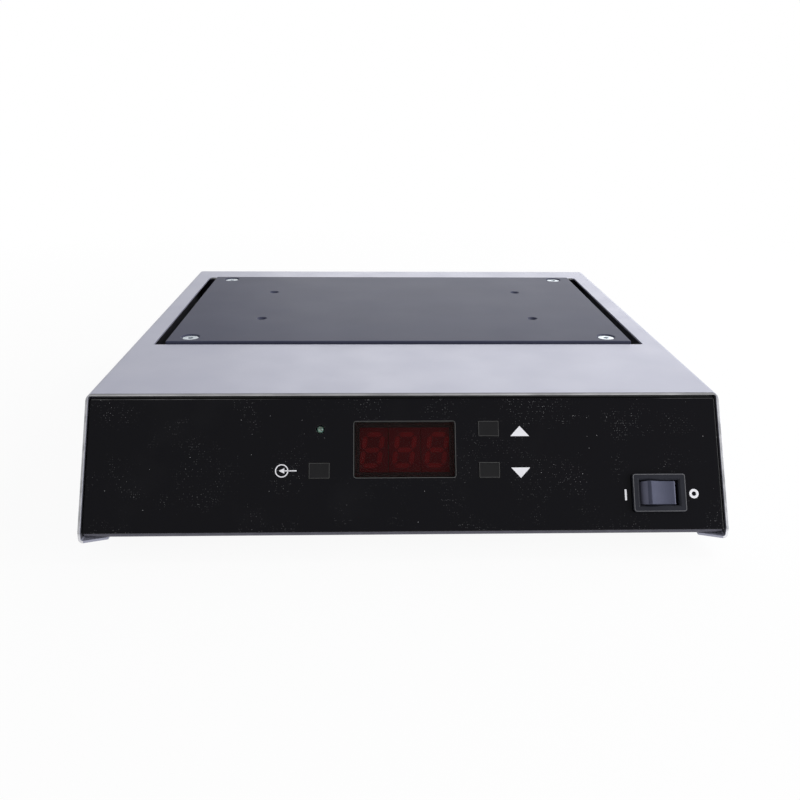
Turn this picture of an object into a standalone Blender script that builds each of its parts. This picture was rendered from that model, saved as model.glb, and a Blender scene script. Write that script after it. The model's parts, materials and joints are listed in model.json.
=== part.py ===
"""Benchtop preheater for printed circuit boards.

A folded steel cover slides over a folded chassis with a slanted front. A black heating plate
fills the opening in the cover's top and stands on four shouldered pillars, over a serpentine
heating element, an insulating board and a reflector tray. The front carries a three-digit
display, three keys, a status lamp and a rocker switch, and the rear carries the mains inlet.

Metres, +Z up, +X to the right as seen from the front, and the front faces -Y. The origin is the
middle of the footprint, on the bench.
"""

import math

import bmesh
import bpy
from mathutils import Matrix, Vector

# Cover: one sheet folded into the top, the sides and two flanges under the base
COVER_WIDTH = 0.252
COVER_HEIGHT = 0.051
COVER_SHEET = 0.001
COVER_BEND = 0.0017
COVER_FLANGE = 0.0105
FLANGE_TAPER = 0.0035
CORNER_TRIM = 0.0027
FRONT_SLANT = math.radians(31.0)
OPENING_DEPTH = 0.1463
OPENING_SIDE_MARGIN = 0.0102
OPENING_FRONT_MARGIN = 0.0669
OPENING_REAR_MARGIN = 0.0192
OPENING_CORNER = 0.001

# Chassis: one sheet folded into the front, the base and the rear
CHASSIS_SHEET = 0.0012
CHASSIS_BEND = 0.0014
CHASSIS_SIDE_GAP = 0.0008
CHASSIS_TOP_GAP = 0.0005
CHASSIS_RETURN = 0.011
REAR_RECESS = 0.0035
SLOT_WIDTH = 0.003
SLOT_CORNER = 0.0009
BASE_SLOT_LENGTH = 0.036
BASE_SLOT_PITCH = 0.012
BASE_SLOT_ROW_PITCH = 0.048
BASE_SLOTS_PER_ROW = 8
REAR_SLOT_LENGTH = 0.020
REAR_SLOT_PITCH = 0.008
REAR_SLOTS_INSET = 0.049
REAR_SLOTS_JACK_GAP = 0.028
REAR_SLOTS_Z = 0.028

# Gap between pieces that rest on each other
SEAT_GAP = 0.0003

# Rubber feet, pushed through the base
FOOT_STAND = 0.006
FOOT_RADIUS = 0.009
FOOT_SIDE_TAPER = 0.0008
FOOT_EDGE = 0.001
FOOT_DIMPLE_RADIUS = 0.0040
FOOT_DIMPLE_DEPTH = 0.001
FOOT_NECK_RADIUS = 0.0025
FOOT_BARB_RADIUS = 0.0036
FOOT_BARB_RIM = 0.0006
FOOT_BARB_HEIGHT = 0.003
FOOT_TIP_RADIUS = 0.0015
FOOT_INSET_X = 0.038
FOOT_INSET_FRONT = 0.044
FOOT_INSET_REAR = 0.044

# Heating plate and what holds it
PLATE_THICKNESS = 0.004
PLATE_EDGE = 0.0004
PLATE_PROUD = 0.001
PLATE_SIDE_GAP = 0.0051
PLATE_END_GAP = 0.0020
PLATE_SCREW_INSET_X = 0.0104
PLATE_SCREW_INSET_Y = 0.0073
PLATE_HEAD_SINK = 0.0005
PLATE_SINK_GAP = 0.0008
ACCESSORY_PITCH_X = 0.141
ACCESSORY_PITCH_Y = 0.059
ACCESSORY_BORE_RADIUS = 0.0021
ACCESSORY_CHAMFER = 0.0006
PILLAR_RADIUS = 0.005
PILLAR_NECK_RADIUS = 0.0035
PILLAR_THREAD_DEPTH = 0.014
PILLAR_TENON_RADIUS = 0.003

# Screws
M4_RADIUS = 0.002
M4_HEAD_RADIUS = 0.0038
M4_LENGTH = 0.016
M4_SOCKET_RADIUS = 0.00145
M4_SOCKET_DEPTH = 0.002
M3_RADIUS = 0.0015
M3_HEAD_RADIUS = 0.0028
M3_CROWN_RADIUS = 0.0020
M3_HEAD_HEIGHT = 0.0018
M3_HEAD_RIM = 0.0009
M3_LENGTH = 0.008
M3_SOCKET_RADIUS = 0.00105
M3_SOCKET_DEPTH = 0.0011
SCREW_HOLE_GAP = 0.0003
COVER_SCREW_FRONT = 0.060
COVER_SCREW_REAR = 0.040

# Heater stack under the plate
ELEMENT_RADIUS = 0.00325
ELEMENT_PASSES = 6
ELEMENT_ROW_MARGIN = 0.0212
ELEMENT_BEND_GAP = 0.0004
ELEMENT_END_MARGIN = 0.014
ELEMENT_TAIL = 0.018
CLAMP_WIDTH = 0.008
CLAMP_THICKNESS = 0.0015
CLAMP_OVERHANG = 0.008
CLAMP_CORNER = 0.002
CLAMP_SPREAD = 0.115
CLAMP_STUD_RADIUS = 0.002
INSULATION_THICKNESS = 0.005
INSULATION_EDGE = 0.001
INSULATION_MARGIN_X = 0.025
INSULATION_MARGIN_Y = 0.015
TRAY_SHEET = 0.0008
TRAY_MARGIN = 0.0015
TRAY_DEPTH = 0.015
PROBE_RADIUS = 0.002
PROBE_LENGTH = 0.022
CUTOUT_INSET = 0.0372
CUTOUT_RADIUS = 0.0055
CUTOUT_BODY_RADIUS = 0.0044
CUTOUT_FLANGE = 0.0021
CUTOUT_SHOULDER = 0.0006
CUTOUT_HEIGHT = 0.006
SHIELD_SHEET = 0.0008
SHIELD_FOOT = 0.010
SHIELD_GAP = 0.005
SHIELD_SIDE_GAP = 0.027

# Front fascia and what shows in it. Across is along the front, down is down its slope.
FASCIA_THICKNESS = 0.0015
FASCIA_RECESS = 0.0003
FASCIA_SIDE_GAP = 0.0004
FASCIA_TOP = 0.0016
FASCIA_BOTTOM = 0.0546
FASCIA_EDGE = 0.0010
FASCIA_CORNER = 0.0012
WINDOW_WIDTH = 0.0400
WINDOW_HEIGHT = 0.0223
WINDOW_ACROSS = -0.0006
WINDOW_DOWN = 0.0226
WINDOW_THICKNESS = 0.0012
WINDOW_CORNER = 0.0006
DIGIT_WIDTH = 0.0125
DIGIT_HEIGHT = 0.0190
DIGIT_DEPTH = 0.0080
DIGIT_PITCH = 0.0128
SEGMENT_HEIGHT = 0.0142
SEGMENT_SPAN = 0.0086
SEGMENT_BAR = 0.0020
SEGMENT_GAP = 0.0004
SEGMENT_ENGRAVING = 0.0003
SEGMENT_LEAN = math.radians(8.0)
KEY_WIDTH = 0.0080
KEY_HEIGHT = 0.0060
KEY_PROUD = 0.0002
KEY_TRAVEL = 0.0005
KEY_HOLE_GAP = 0.0002
KEY_SKIRT = 0.0011
KEY_SKIRT_THICKNESS = 0.0008
KEY_STEM = 0.0034
KEY_STEM_REACH = 0.0015
KEY_RIGHT_ACROSS = 0.0327
KEY_LEFT_ACROSS = -0.0341
KEY_UPPER_DOWN = 0.0145
KEY_LOWER_DOWN = 0.0309
KEY_SWITCH_SIDE = 0.0120
KEY_SWITCH_HEIGHT = 0.0040
LAMP_RADIUS = 0.0015
LAMP_ACROSS = -0.0338
LAMP_DOWN = 0.0146
LAMP_COLLAR = 0.0004
CONTROL_BOARD_WIDTH = 0.118
CONTROL_BOARD_HEIGHT = 0.042
CONTROL_BOARD_DOWN = 0.0255
BOARD_THICKNESS = 0.0016
BOARD_POST_RADIUS = 0.0025
BOARD_POST_INSET = 0.004
BOARD_TENON_RADIUS = 0.0014

# Rocker switch
SWITCH_WIDTH = 0.0210
SWITCH_HEIGHT = 0.0150
SWITCH_INSET = 0.0268
SWITCH_DOWN = 0.0403
SWITCH_BEZEL = 0.0012
SWITCH_BODY_WIDTH = 0.0190
SWITCH_BODY_HEIGHT = 0.0129
SWITCH_BODY_DEPTH = 0.0125
SWITCH_TAB_LENGTH = 0.0060
SWITCH_TAB_WIDTH = 0.0048
SWITCH_TAB_THICKNESS = 0.0008
SWITCH_FLOOR = 0.0020
SWITCH_TAB_PITCH = 0.0090
ROCKER_WIDTH = 0.0148
ROCKER_HEIGHT = 0.0092
ROCKER_GAP = 0.0003
ROCKER_PIVOT_DEPTH = 0.0030
ROCKER_CORNER = math.radians(48)
ROCKER_SKIRT = math.radians(25)
ROCKER_HOLLOW = 0.0012
ROCKER_EDGE = 0.0004
ROCKER_TILT = math.radians(12.0)
ROCKER_PIN_RADIUS = 0.0010
ROCKER_PIN_REACH = 0.0010

# Power board and its parts
POWER_BOARD_WIDTH = 0.118
POWER_BOARD_LENGTH = 0.044
POWER_BOARD_X = -0.012
POWER_BOARD_REAR_GAP = 0.011
POWER_BOARD_LIFT = 0.006
TRANSFORMER_SIZE = (0.0325, 0.0275, 0.0270)
TRANSFORMER_EDGE = 0.0012
TRANSFORMER_ACROSS = 0.030
HEATSINK_WIDTH = 0.036
HEATSINK_BACK = 0.003
HEATSINK_FIN = 0.0012
HEATSINK_DEPTH = 0.012
HEATSINK_HEIGHT = 0.028
HEATSINK_FINS = 7
HEATSINK_ACROSS = -0.030
TRIAC_SIZE = (0.0100, 0.0044, 0.0150)
TRIAC_EDGE = 0.0004
FUSE_RADIUS = 0.0026
FUSE_LENGTH = 0.020
FUSE_AXIS_HEIGHT = 0.0051
FUSE_CLIP_HEIGHT = 0.0085
FUSE_CLIP_LENGTH = 0.0026
FUSE_CLIP_WIDTH = 0.0075
FUSE_MOUTH = 0.0039
FUSE_BASE_WIDTH = 0.0062
FUSE_BASE_HEIGHT = 0.0013
FUSE_ACROSS = 0.000
FUSE_FORWARD = 0.010

# Mains inlet and rear sockets
INLET_INSET = 0.054
INLET_Z = 0.0225
INLET_FLANGE_WIDTH = 0.0310
INLET_FLANGE_HEIGHT = 0.0245
INLET_FLANGE_THICKNESS = 0.0025
INLET_BODY_WIDTH = 0.0272
INLET_BODY_HEIGHT = 0.0198
INLET_BODY_DEPTH = 0.0160
INLET_CAVITY_WIDTH = 0.0240
INLET_CAVITY_HEIGHT = 0.0165
INLET_CAVITY_CORNER = 0.0050
INLET_BACK_WALL = 0.0020
PIN_THICKNESS = 0.0020
PIN_WIDTH = 0.0040
PIN_EDGE = 0.0004
PIN_LENGTH = 0.0240
PIN_MOUTH_GAP = 0.0045
PIN_PITCH = 0.0140
PIN_OFFSET_Z = 0.0020
JACK_BORE_RADIUS = 0.0018
JACK_NUT_RADIUS = 0.0045
JACK_NUT_HEIGHT = 0.0020
JACK_NUT_EDGE = 0.0004
JACK_BODY_RADIUS = 0.0030
JACK_BODY_DEPTH = 0.0120
JACK_BACK_WALL = 0.0024
JACK_INLET_GAP = 0.039
JACK_PITCH = 0.018

# Wiring inside
WIRE_RADIUS = 0.0011
WIRE_LEAD = 0.006
WIRE_BEND = 0.003
WIRE_LANE = 0.0165
WIRE_LANE_PITCH = 0.0040
WIRE_SHIELD_GAP = 0.0040
WIRE_TAIL_RUN = 0.0090
WIRE_INLET_RUN = 0.0295
WIRE_PAD_INSET = 0.0065
WIRE_PAD_PITCH = 0.0060
RIBBON_WIDTH = 0.020
RIBBON_THICKNESS = 0.0008
RIBBON_DOWN = 0.026
RIBBON_LEAD = 0.005
RIBBON_INSET = 0.0035
RIBBON_STEPS = 10

BOARD_GREEN = (0.02, 0.16, 0.07)
NEUTRAL_BLACK = (0.012, 0.012, 0.013)

# Levels and places that follow from the sizes above
COVER_BOTTOM = FOOT_STAND
COVER_TOP = COVER_BOTTOM + COVER_HEIGHT
HALF_WIDTH = COVER_WIDTH / 2
SLANT_RUN = COVER_HEIGHT * math.tan(FRONT_SLANT) - CORNER_TRIM
COVER_LENGTH = SLANT_RUN + OPENING_FRONT_MARGIN + OPENING_DEPTH + OPENING_REAR_MARGIN
HALF_LENGTH = COVER_LENGTH / 2
TOP_FRONT_Y = SLANT_RUN - HALF_LENGTH
OPENING_WIDTH = COVER_WIDTH - 2 * OPENING_SIDE_MARGIN
BASE_BOTTOM = COVER_BOTTOM + COVER_SHEET + SEAT_GAP
BASE_TOP = BASE_BOTTOM + CHASSIS_SHEET
CHASSIS_TOP = COVER_TOP - COVER_SHEET - CHASSIS_TOP_GAP
CHASSIS_WIDTH = COVER_WIDTH - 2 * (COVER_SHEET + CHASSIS_SIDE_GAP)
CHASSIS_FRONT_DEPTH = FASCIA_RECESS + FASCIA_THICKNESS + SEAT_GAP
CHASSIS_INNER_DEPTH = CHASSIS_FRONT_DEPTH + CHASSIS_SHEET
REAR_FACE_Y = HALF_LENGTH - REAR_RECESS
HEATER_Y = HALF_LENGTH - OPENING_REAR_MARGIN - OPENING_DEPTH / 2
PLATE_WIDTH = OPENING_WIDTH - 2 * PLATE_SIDE_GAP
PLATE_DEPTH = OPENING_DEPTH - 2 * PLATE_END_GAP
PLATE_TOP = COVER_TOP + PLATE_PROUD
PLATE_BOTTOM = PLATE_TOP - PLATE_THICKNESS
PLATE_SCREW_X = PLATE_WIDTH / 2 - PLATE_SCREW_INSET_X
PLATE_SCREW_Y = PLATE_DEPTH / 2 - PLATE_SCREW_INSET_Y
ELEMENT_PITCH = (PLATE_DEPTH - 2 * ELEMENT_ROW_MARGIN) / (ELEMENT_PASSES - 1)
ELEMENT_Z = PLATE_BOTTOM - SEAT_GAP - ELEMENT_RADIUS
CLAMP_TOP = ELEMENT_Z - ELEMENT_RADIUS - SEAT_GAP
TRAY_TOP = PLATE_BOTTOM - SEAT_GAP
TRAY_BOTTOM = TRAY_TOP - TRAY_DEPTH
TRAY_FLOOR = TRAY_BOTTOM + TRAY_SHEET
DIGIT_FACE_DEPTH = CHASSIS_FRONT_DEPTH + SEAT_GAP
CONTROL_BOARD_DEPTH = DIGIT_FACE_DEPTH + DIGIT_DEPTH + SEAT_GAP
KEY_SWITCH_TOP_DEPTH = CONTROL_BOARD_DEPTH - SEAT_GAP - KEY_SWITCH_HEIGHT
SWITCH_ACROSS = HALF_WIDTH - SWITCH_INSET
ROCKER_AXIS_DEPTH = FASCIA_RECESS + ROCKER_PIVOT_DEPTH
SHIELD_Y = HEATER_Y - OPENING_DEPTH / 2 - SHIELD_GAP
POWER_BOARD_Y = SHIELD_Y - POWER_BOARD_REAR_GAP - POWER_BOARD_LENGTH / 2
POWER_BOARD_BOTTOM = BASE_TOP + POWER_BOARD_LIFT
POWER_BOARD_TOP = POWER_BOARD_BOTTOM + BOARD_THICKNESS
INLET_X = HALF_WIDTH - INLET_INSET
JACK_X = INLET_X - JACK_INLET_GAP
REAR_SLOTS_FIRST = REAR_SLOTS_INSET - HALF_WIDTH
REAR_SLOTS_LAST = JACK_X - JACK_PITCH - REAR_SLOTS_JACK_GAP
FOOT_X = HALF_WIDTH - FOOT_INSET_X
FOOT_FRONT_Y = -HALF_LENGTH + FOOT_INSET_FRONT
FOOT_REAR_Y = HALF_LENGTH - FOOT_INSET_REAR
COVER_SCREW_X = HALF_WIDTH - COVER_FLANGE / 2 - COVER_SHEET / 2
WIRE_FLOOR = BASE_TOP + SEAT_GAP + WIRE_RADIUS

# Overshoot of a cutter past the wall that it cuts
CUT_OVER = 0.002

# Points closer than this are one point, and edges sharper than this stay sharp
MERGE_DISTANCE = 0.000001
SMOOTH_ANGLE = math.radians(35)

SIDES = {"left": -1, "right": 1}
ENDS = {"front": -1, "rear": 1}
KEYS = {
    "enter": (KEY_LEFT_ACROSS, KEY_LOWER_DOWN),
    "up": (KEY_RIGHT_ACROSS, KEY_UPPER_DOWN),
    "down": (KEY_RIGHT_ACROSS, KEY_LOWER_DOWN),
}

# A turn that points a piece's +Z out of the rear, with its +Y up
FACING_REAR = (-math.pi / 2, math.pi, 0)

MATERIALS = {
    "satin_steel": ((0.52, 0.52, 0.60), 0.38, 0.9),
    "galvanised_steel": ((0.42, 0.42, 0.45), 0.45, 0.9),
    "fascia_black": (NEUTRAL_BLACK, 0.15, 0.0),
    "window_red": ((0.12, 0.003, 0.003), 0.12, 0.0),
    "plastic_black": (NEUTRAL_BLACK, 0.45, 0.0),
    "digit_face": ((0.03, 0.004, 0.004), 0.5, 0.0),
    "plate_coating": ((0.055, 0.055, 0.065), 0.5, 0.3),
    "zinc": ((0.70, 0.72, 0.74), 0.3, 1.0),
    "rubber": ((0.02, 0.02, 0.02), 0.8, 0.0),
    "ceramic_fibre": ((0.75, 0.72, 0.66), 0.95, 0.0),
    "element_steel": ((0.22, 0.21, 0.20), 0.45, 0.9),
    "circuit_board": (BOARD_GREEN, 0.5, 0.0),
    "aluminium": ((0.65, 0.66, 0.67), 0.4, 1.0),
    "brass": ((0.72, 0.55, 0.25), 0.35, 1.0),
    "lamp_lens": ((0.10, 0.26, 0.18), 0.2, 0.0),
    "fuse_glass": ((0.75, 0.78, 0.78), 0.1, 0.0),
    "wire_brown": ((0.18, 0.07, 0.03), 0.5, 0.0),
    "wire_blue": ((0.03, 0.08, 0.35), 0.5, 0.0),
    "wire_white": ((0.7, 0.7, 0.68), 0.5, 0.0),
    "ribbon_grey": ((0.45, 0.45, 0.47), 0.5, 0.0),
}


# Scene and objects

def clear_scene():
    for old in list(bpy.data.objects):
        bpy.data.objects.remove(old)


def make_material(name, colour, roughness, metallic):
    material = bpy.data.materials.new(name)
    material.use_nodes = True
    shader = material.node_tree.nodes["Principled BSDF"]
    shader.inputs["Base Color"].default_value = (*colour, 1.0)
    shader.inputs["Roughness"].default_value = roughness
    shader.inputs["Metallic"].default_value = metallic
    material.diffuse_color = (*colour, 1.0)
    return material


def add_collection(name, parent):
    collection = bpy.data.collections.new(name)
    parent.children.link(collection)
    return collection


def place(obj, location=(0, 0, 0), rotation=(0, 0, 0), parent=None):
    obj.location = location
    obj.rotation_euler = rotation
    obj.parent = parent
    return obj


def piece(name, data, material):
    """A named node of the preheater, from a mesh or a curve."""
    obj = bpy.data.objects.new(name, data)
    bpy.data.collections["pcb_preheater"].objects.link(obj)
    obj.data.materials.append(bpy.data.materials[material])
    return obj


def cutter(data):
    obj = bpy.data.objects.new("cutter", data)
    obj.hide_render = True
    obj.display_type = "WIRE"
    return obj


def boolean(target, tools, operation, label):
    """Cuts the tools out of the target, or joins them to it, in one Boolean."""
    group = add_collection(f"{target.name}_{label}", bpy.data.collections["cutters"])
    for tool in tools:
        group.objects.link(tool)
    modifier = target.modifiers.new(label, "BOOLEAN")
    modifier.operation = operation
    modifier.operand_type = "COLLECTION"
    modifier.collection = group
    modifier.solver = "EXACT"
    return target


def cut(target, tools):
    return boolean(target, tools, "DIFFERENCE", "cutouts")


def join(target, tools):
    return boolean(target, tools, "UNION", "joined")


def finish_mesh(name, bm):
    mesh = bpy.data.meshes.new(name)
    bm.to_mesh(mesh)
    bm.free()
    return mesh


def smoothed(mesh):
    """The same mesh, shaded smooth where it is round."""
    mesh.shade_smooth()
    mesh.set_sharp_from_angle(angle=SMOOTH_ANGLE)
    return mesh


def bevel(bm, edges, offset, segments):
    """Rounds or chamfers edges of a mesh in the making."""
    bmesh.ops.bevel(bm, geom=edges, offset=offset, segments=segments, profile=0.5, affect="EDGES")


# Solids that the pieces start from

def block(size, rounding=0.0, segments=2):
    """A box of the given size round the origin, with all its edges rounded."""
    bm = bmesh.new()
    bmesh.ops.create_cube(bm, size=1.0, matrix=Matrix.Diagonal((*size, 1.0)))
    if rounding:
        bevel(bm, bm.edges[:], rounding, segments)
    return finish_mesh("block", bm)


def plate(width, height, thickness, corner=0.0, segments=3):
    """A flat plate round the origin, its four corners rounded."""
    bm = bmesh.new()
    bmesh.ops.create_cube(bm, size=1.0, matrix=Matrix.Diagonal((width, height, thickness, 1.0)))
    if corner:
        upright = [e for e in bm.edges if abs(e.verts[0].co.z - e.verts[1].co.z) > thickness / 2]
        bevel(bm, upright, corner, segments)
    return finish_mesh("plate", bm)


def rod(radius, length, segments=16):
    """A cylinder round the origin, along Z."""
    bm = bmesh.new()
    bmesh.ops.create_cone(
        bm, cap_ends=True, segments=segments, radius1=radius, radius2=radius, depth=length
    )
    return smoothed(finish_mesh("rod", bm))


def stepped_block(first, bottom, steps):
    """A stack of rectangular steps along Z, each given as (width, depth, level of its top).

    It starts from a first size at the bottom level. A step that goes down makes a pocket.
    """
    bm = bmesh.new()
    bmesh.ops.create_grid(bm, x_segments=1, y_segments=1, size=0.5)
    bmesh.ops.scale(bm, vec=(first[0], first[1], 1.0), verts=bm.verts[:])
    bmesh.ops.translate(bm, vec=(0, 0, bottom), verts=bm.verts[:])
    base = bm.faces[:][0]
    width, depth = first
    extruded = bmesh.ops.extrude_face_region(bm, geom=[base])
    top = [g for g in extruded["geom"] if isinstance(g, bmesh.types.BMFace)][0]
    for index, (new_width, new_depth, level) in enumerate(steps):
        if index:
            extruded = bmesh.ops.extrude_discrete_faces(bm, faces=[top])
            top = extruded["faces"][0]
            ratio = (new_width / width, new_depth / depth, 1.0)
            bmesh.ops.scale(bm, vec=ratio, verts=top.verts[:])
            extruded = bmesh.ops.extrude_discrete_faces(bm, faces=[top])
            top = extruded["faces"][0]
        rise = level - top.verts[0].co.z
        bmesh.ops.translate(bm, vec=(0, 0, rise), verts=top.verts[:])
        width, depth = new_width, new_depth
    bmesh.ops.recalc_face_normals(bm, faces=bm.faces[:])
    return finish_mesh("stepped_block", bm)


def turned(points, steps=16):
    """A solid turned round Z from (radius, height) points, which run from axis to axis."""
    bm = bmesh.new()
    verts = [bm.verts.new((radius, 0, height)) for radius, height in points]
    edges = [bm.edges.new(pair) for pair in zip(verts, verts[1:])]
    full = 2 * math.pi
    bmesh.ops.spin(bm, geom=verts + edges, axis=(0, 0, 1), angle=full, steps=steps, use_merge=True)
    bmesh.ops.remove_doubles(bm, verts=bm.verts[:], dist=MERGE_DISTANCE)
    bmesh.ops.recalc_face_normals(bm, faces=bm.faces[:])
    return smoothed(finish_mesh("turned", bm))


def filleted(points, radius, segments=5):
    """A path with each of its inner corners turned into an arc of that radius."""
    path = [Vector(points[0])]
    for before, corner, after in zip(points, points[1:], points[2:]):
        corner = Vector(corner)
        back = (Vector(before) - corner).normalized()
        ahead = (Vector(after) - corner).normalized()
        half = back.angle(ahead) / 2
        centre = corner + (back + ahead).normalized() * radius / math.sin(half)
        reach = radius / math.tan(half)
        start = (corner + back * reach - centre).normalized()
        end = (corner + ahead * reach - centre).normalized()
        path += [centre + radius * start.slerp(end, i / segments) for i in range(segments + 1)]
    return path + [Vector(points[-1])]


def smooth_path(points, samples):
    """Points on a smooth curve through the given ones, a Catmull-Rom spline."""
    knots = [Vector(p) for p in points]
    knots = [2 * knots[0] - knots[1]] + knots + [2 * knots[-1] - knots[-2]]
    path = []
    spans = len(knots) - 3
    for i in range(samples + 1):
        place_on = min(i * spans / samples, spans - 1e-9)
        k = int(place_on)
        t = place_on - k
        a, b, c, d = knots[k:k + 4]
        slope = (c - a) * t
        bend = (2 * a - 5 * b + 4 * c - d) * t**2
        twist = (3 * b - a - 3 * c + d) * t**3
        path.append(b + (slope + bend + twist) / 2)
    return path


def folded_sheet(path, axis, width):
    """The face of a sheet that is folded along a path and is as wide as said along the axis."""
    axis = Vector(axis)
    bm = bmesh.new()
    verts = [bm.verts.new(point - axis * width / 2) for point in path]
    edges = [bm.edges.new(pair) for pair in zip(verts, verts[1:])]
    swept = bmesh.ops.extrude_edge_only(bm, edges=edges)
    moved = [g for g in swept["geom"] if isinstance(g, bmesh.types.BMVert)]
    bmesh.ops.translate(bm, vec=axis * width, verts=moved)
    return finish_mesh("sheet", bm)


def thicken(obj, thickness, offset):
    solidify = obj.modifiers.new("sheet", "SOLIDIFY")
    solidify.thickness = thickness
    solidify.offset = offset
    solidify.use_even_offset = True
    return obj


def tube_curve(path, radius):
    """A round wire or tube along a path, with closed ends."""
    curve = bpy.data.curves.new("tube", "CURVE")
    curve.dimensions = "3D"
    curve.bevel_depth = radius
    curve.bevel_resolution = 2
    curve.use_fill_caps = True
    spline = curve.splines.new("POLY")
    spline.points.add(len(path) - 1)
    for point, position in zip(spline.points, path):
        point.co = (*position, 1.0)
    return curve


def outline_curve(points, thickness):
    """A flat outline in XY, filled and as thick as said along Z."""
    curve = bpy.data.curves.new("outline", "CURVE")
    curve.dimensions = "2D"
    curve.fill_mode = "BOTH"
    curve.extrude = thickness / 2
    spline = curve.splines.new("POLY")
    spline.points.add(len(points) - 1)
    for point, (x, y) in zip(spline.points, points):
        point.co = (x, y, 0.0, 1.0)
    spline.use_cyclic_u = True
    return curve


def outline_mesh(points, thickness):
    """The solid of a flat outline as a mesh, for a piece that is cut, joined or a cutter."""
    source = bpy.data.objects.new("outline", outline_curve(points, thickness))
    bpy.data.collections["cutters"].objects.link(source)
    bpy.context.view_layer.update()
    graph = bpy.context.evaluated_depsgraph_get()
    mesh = bpy.data.meshes.new_from_object(source.evaluated_get(graph))
    bpy.data.objects.remove(source)
    bm = bmesh.new()
    bm.from_mesh(mesh)
    bmesh.ops.remove_doubles(bm, verts=bm.verts[:], dist=MERGE_DISTANCE)
    bmesh.ops.recalc_face_normals(bm, faces=bm.faces[:])
    bm.to_mesh(mesh)
    bm.free()
    mesh.materials.clear()
    return mesh


# The slanted front: X across it, Y up its slope, Z out of it, from the cover's top front edge

def front_frame():
    frame = bpy.data.objects.new("front_frame", None)
    bpy.data.collections["pcb_preheater"].objects.link(frame)
    frame.location = (0, TOP_FRONT_Y, COVER_TOP)
    frame.rotation_euler = (math.pi / 2 - FRONT_SLANT, 0, 0)
    bpy.context.view_layer.update()
    return frame


def front_spot(across, down, depth):
    """A point of the front frame: across, down the slope, and behind the cover's front plane."""
    return (across, -down, -depth)


def on_front(frame, across, down, depth):
    """The same point in the world."""
    return frame.matrix_world @ Vector(front_spot(across, down, depth))


# Housing

def make_cover():
    """The folded cover, cut off along the slant down to its trimmed corners, with its holes."""
    corners = [
        (-HALF_WIDTH + COVER_FLANGE, 0, COVER_BOTTOM),
        (-HALF_WIDTH, 0, COVER_BOTTOM),
        (-HALF_WIDTH, 0, COVER_TOP),
        (HALF_WIDTH, 0, COVER_TOP),
        (HALF_WIDTH, 0, COVER_BOTTOM),
        (HALF_WIDTH - COVER_FLANGE, 0, COVER_BOTTOM),
    ]
    sheet = folded_sheet(filleted(corners, COVER_BEND), (0, 1, 0), COVER_LENGTH)
    cover = thicken(piece("cover", sheet, "satin_steel"), COVER_SHEET, 1)

    length = 2 * COVER_HEIGHT / math.cos(FRONT_SLANT)
    depth = COVER_LENGTH / 4
    slant = cutter(block((COVER_WIDTH + 2 * CUT_OVER, length, depth)))
    slant.data.transform(Matrix.Translation((0, -length / 4, depth / 2)))
    place(slant, (0, TOP_FRONT_Y, COVER_TOP), (math.pi / 2 - FRONT_SLANT, 0, 0))

    through = COVER_SHEET + 2 * CUT_OVER
    hole = plate(OPENING_WIDTH, OPENING_DEPTH, through, corner=OPENING_CORNER, segments=2)
    opening = place(cutter(hole), (0, HEATER_Y, COVER_TOP - COVER_SHEET / 2))

    inner = HALF_WIDTH - COVER_FLANGE - CUT_OVER
    outer = HALF_WIDTH - COVER_BEND
    tools = [slant, opening]
    for side in SIDES.values():
        wedge = [
            (side * outer, -HALF_LENGTH),
            (side * inner, -HALF_LENGTH + FLANGE_TAPER),
            (side * inner, -HALF_LENGTH - CUT_OVER),
            (side * outer, -HALF_LENGTH - CUT_OVER),
        ]
        flange_z = COVER_BOTTOM + COVER_SHEET / 2
        tools.append(place(cutter(outline_mesh(wedge, through)), (0, 0, flange_z)))
        for y in cover_screw_rows():
            hole = cutter(rod(M3_RADIUS + SCREW_HOLE_GAP, through, 12))
            tools.append(place(hole, (side * COVER_SCREW_X, y, flange_z)))
    return cut(cover, tools)


def cover_screw_rows():
    return (-HALF_LENGTH + COVER_SCREW_FRONT, HALF_LENGTH - COVER_SCREW_REAR)


def chassis_path():
    """The chassis's outer face, seen from the side, with its bends."""
    slope = math.tan(FRONT_SLANT)
    front_y = TOP_FRONT_Y + CHASSIS_FRONT_DEPTH / math.cos(FRONT_SLANT)
    top_y = front_y - (COVER_TOP - CHASSIS_TOP) * slope
    bottom_y = front_y - (COVER_TOP - BASE_BOTTOM) * slope
    corners = [
        (0, top_y + CHASSIS_RETURN, CHASSIS_TOP),
        (0, top_y, CHASSIS_TOP),
        (0, bottom_y, BASE_BOTTOM),
        (0, REAR_FACE_Y, BASE_BOTTOM),
        (0, REAR_FACE_Y, CHASSIS_TOP),
        (0, REAR_FACE_Y - CHASSIS_RETURN, CHASSIS_TOP),
    ]
    return filleted(corners, CHASSIS_BEND)


def make_chassis(frame):
    """The folded chassis with its cut-outs, its slots and its pressed-in board posts."""
    sheet = folded_sheet(chassis_path(), (1, 0, 0), CHASSIS_WIDTH)
    chassis = thicken(piece("chassis", sheet, "galvanised_steel"), CHASSIS_SHEET, 1)
    cut(chassis, front_cutters(frame) + base_cutters() + rear_cutters())
    return join(chassis, board_posts(frame))


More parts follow.
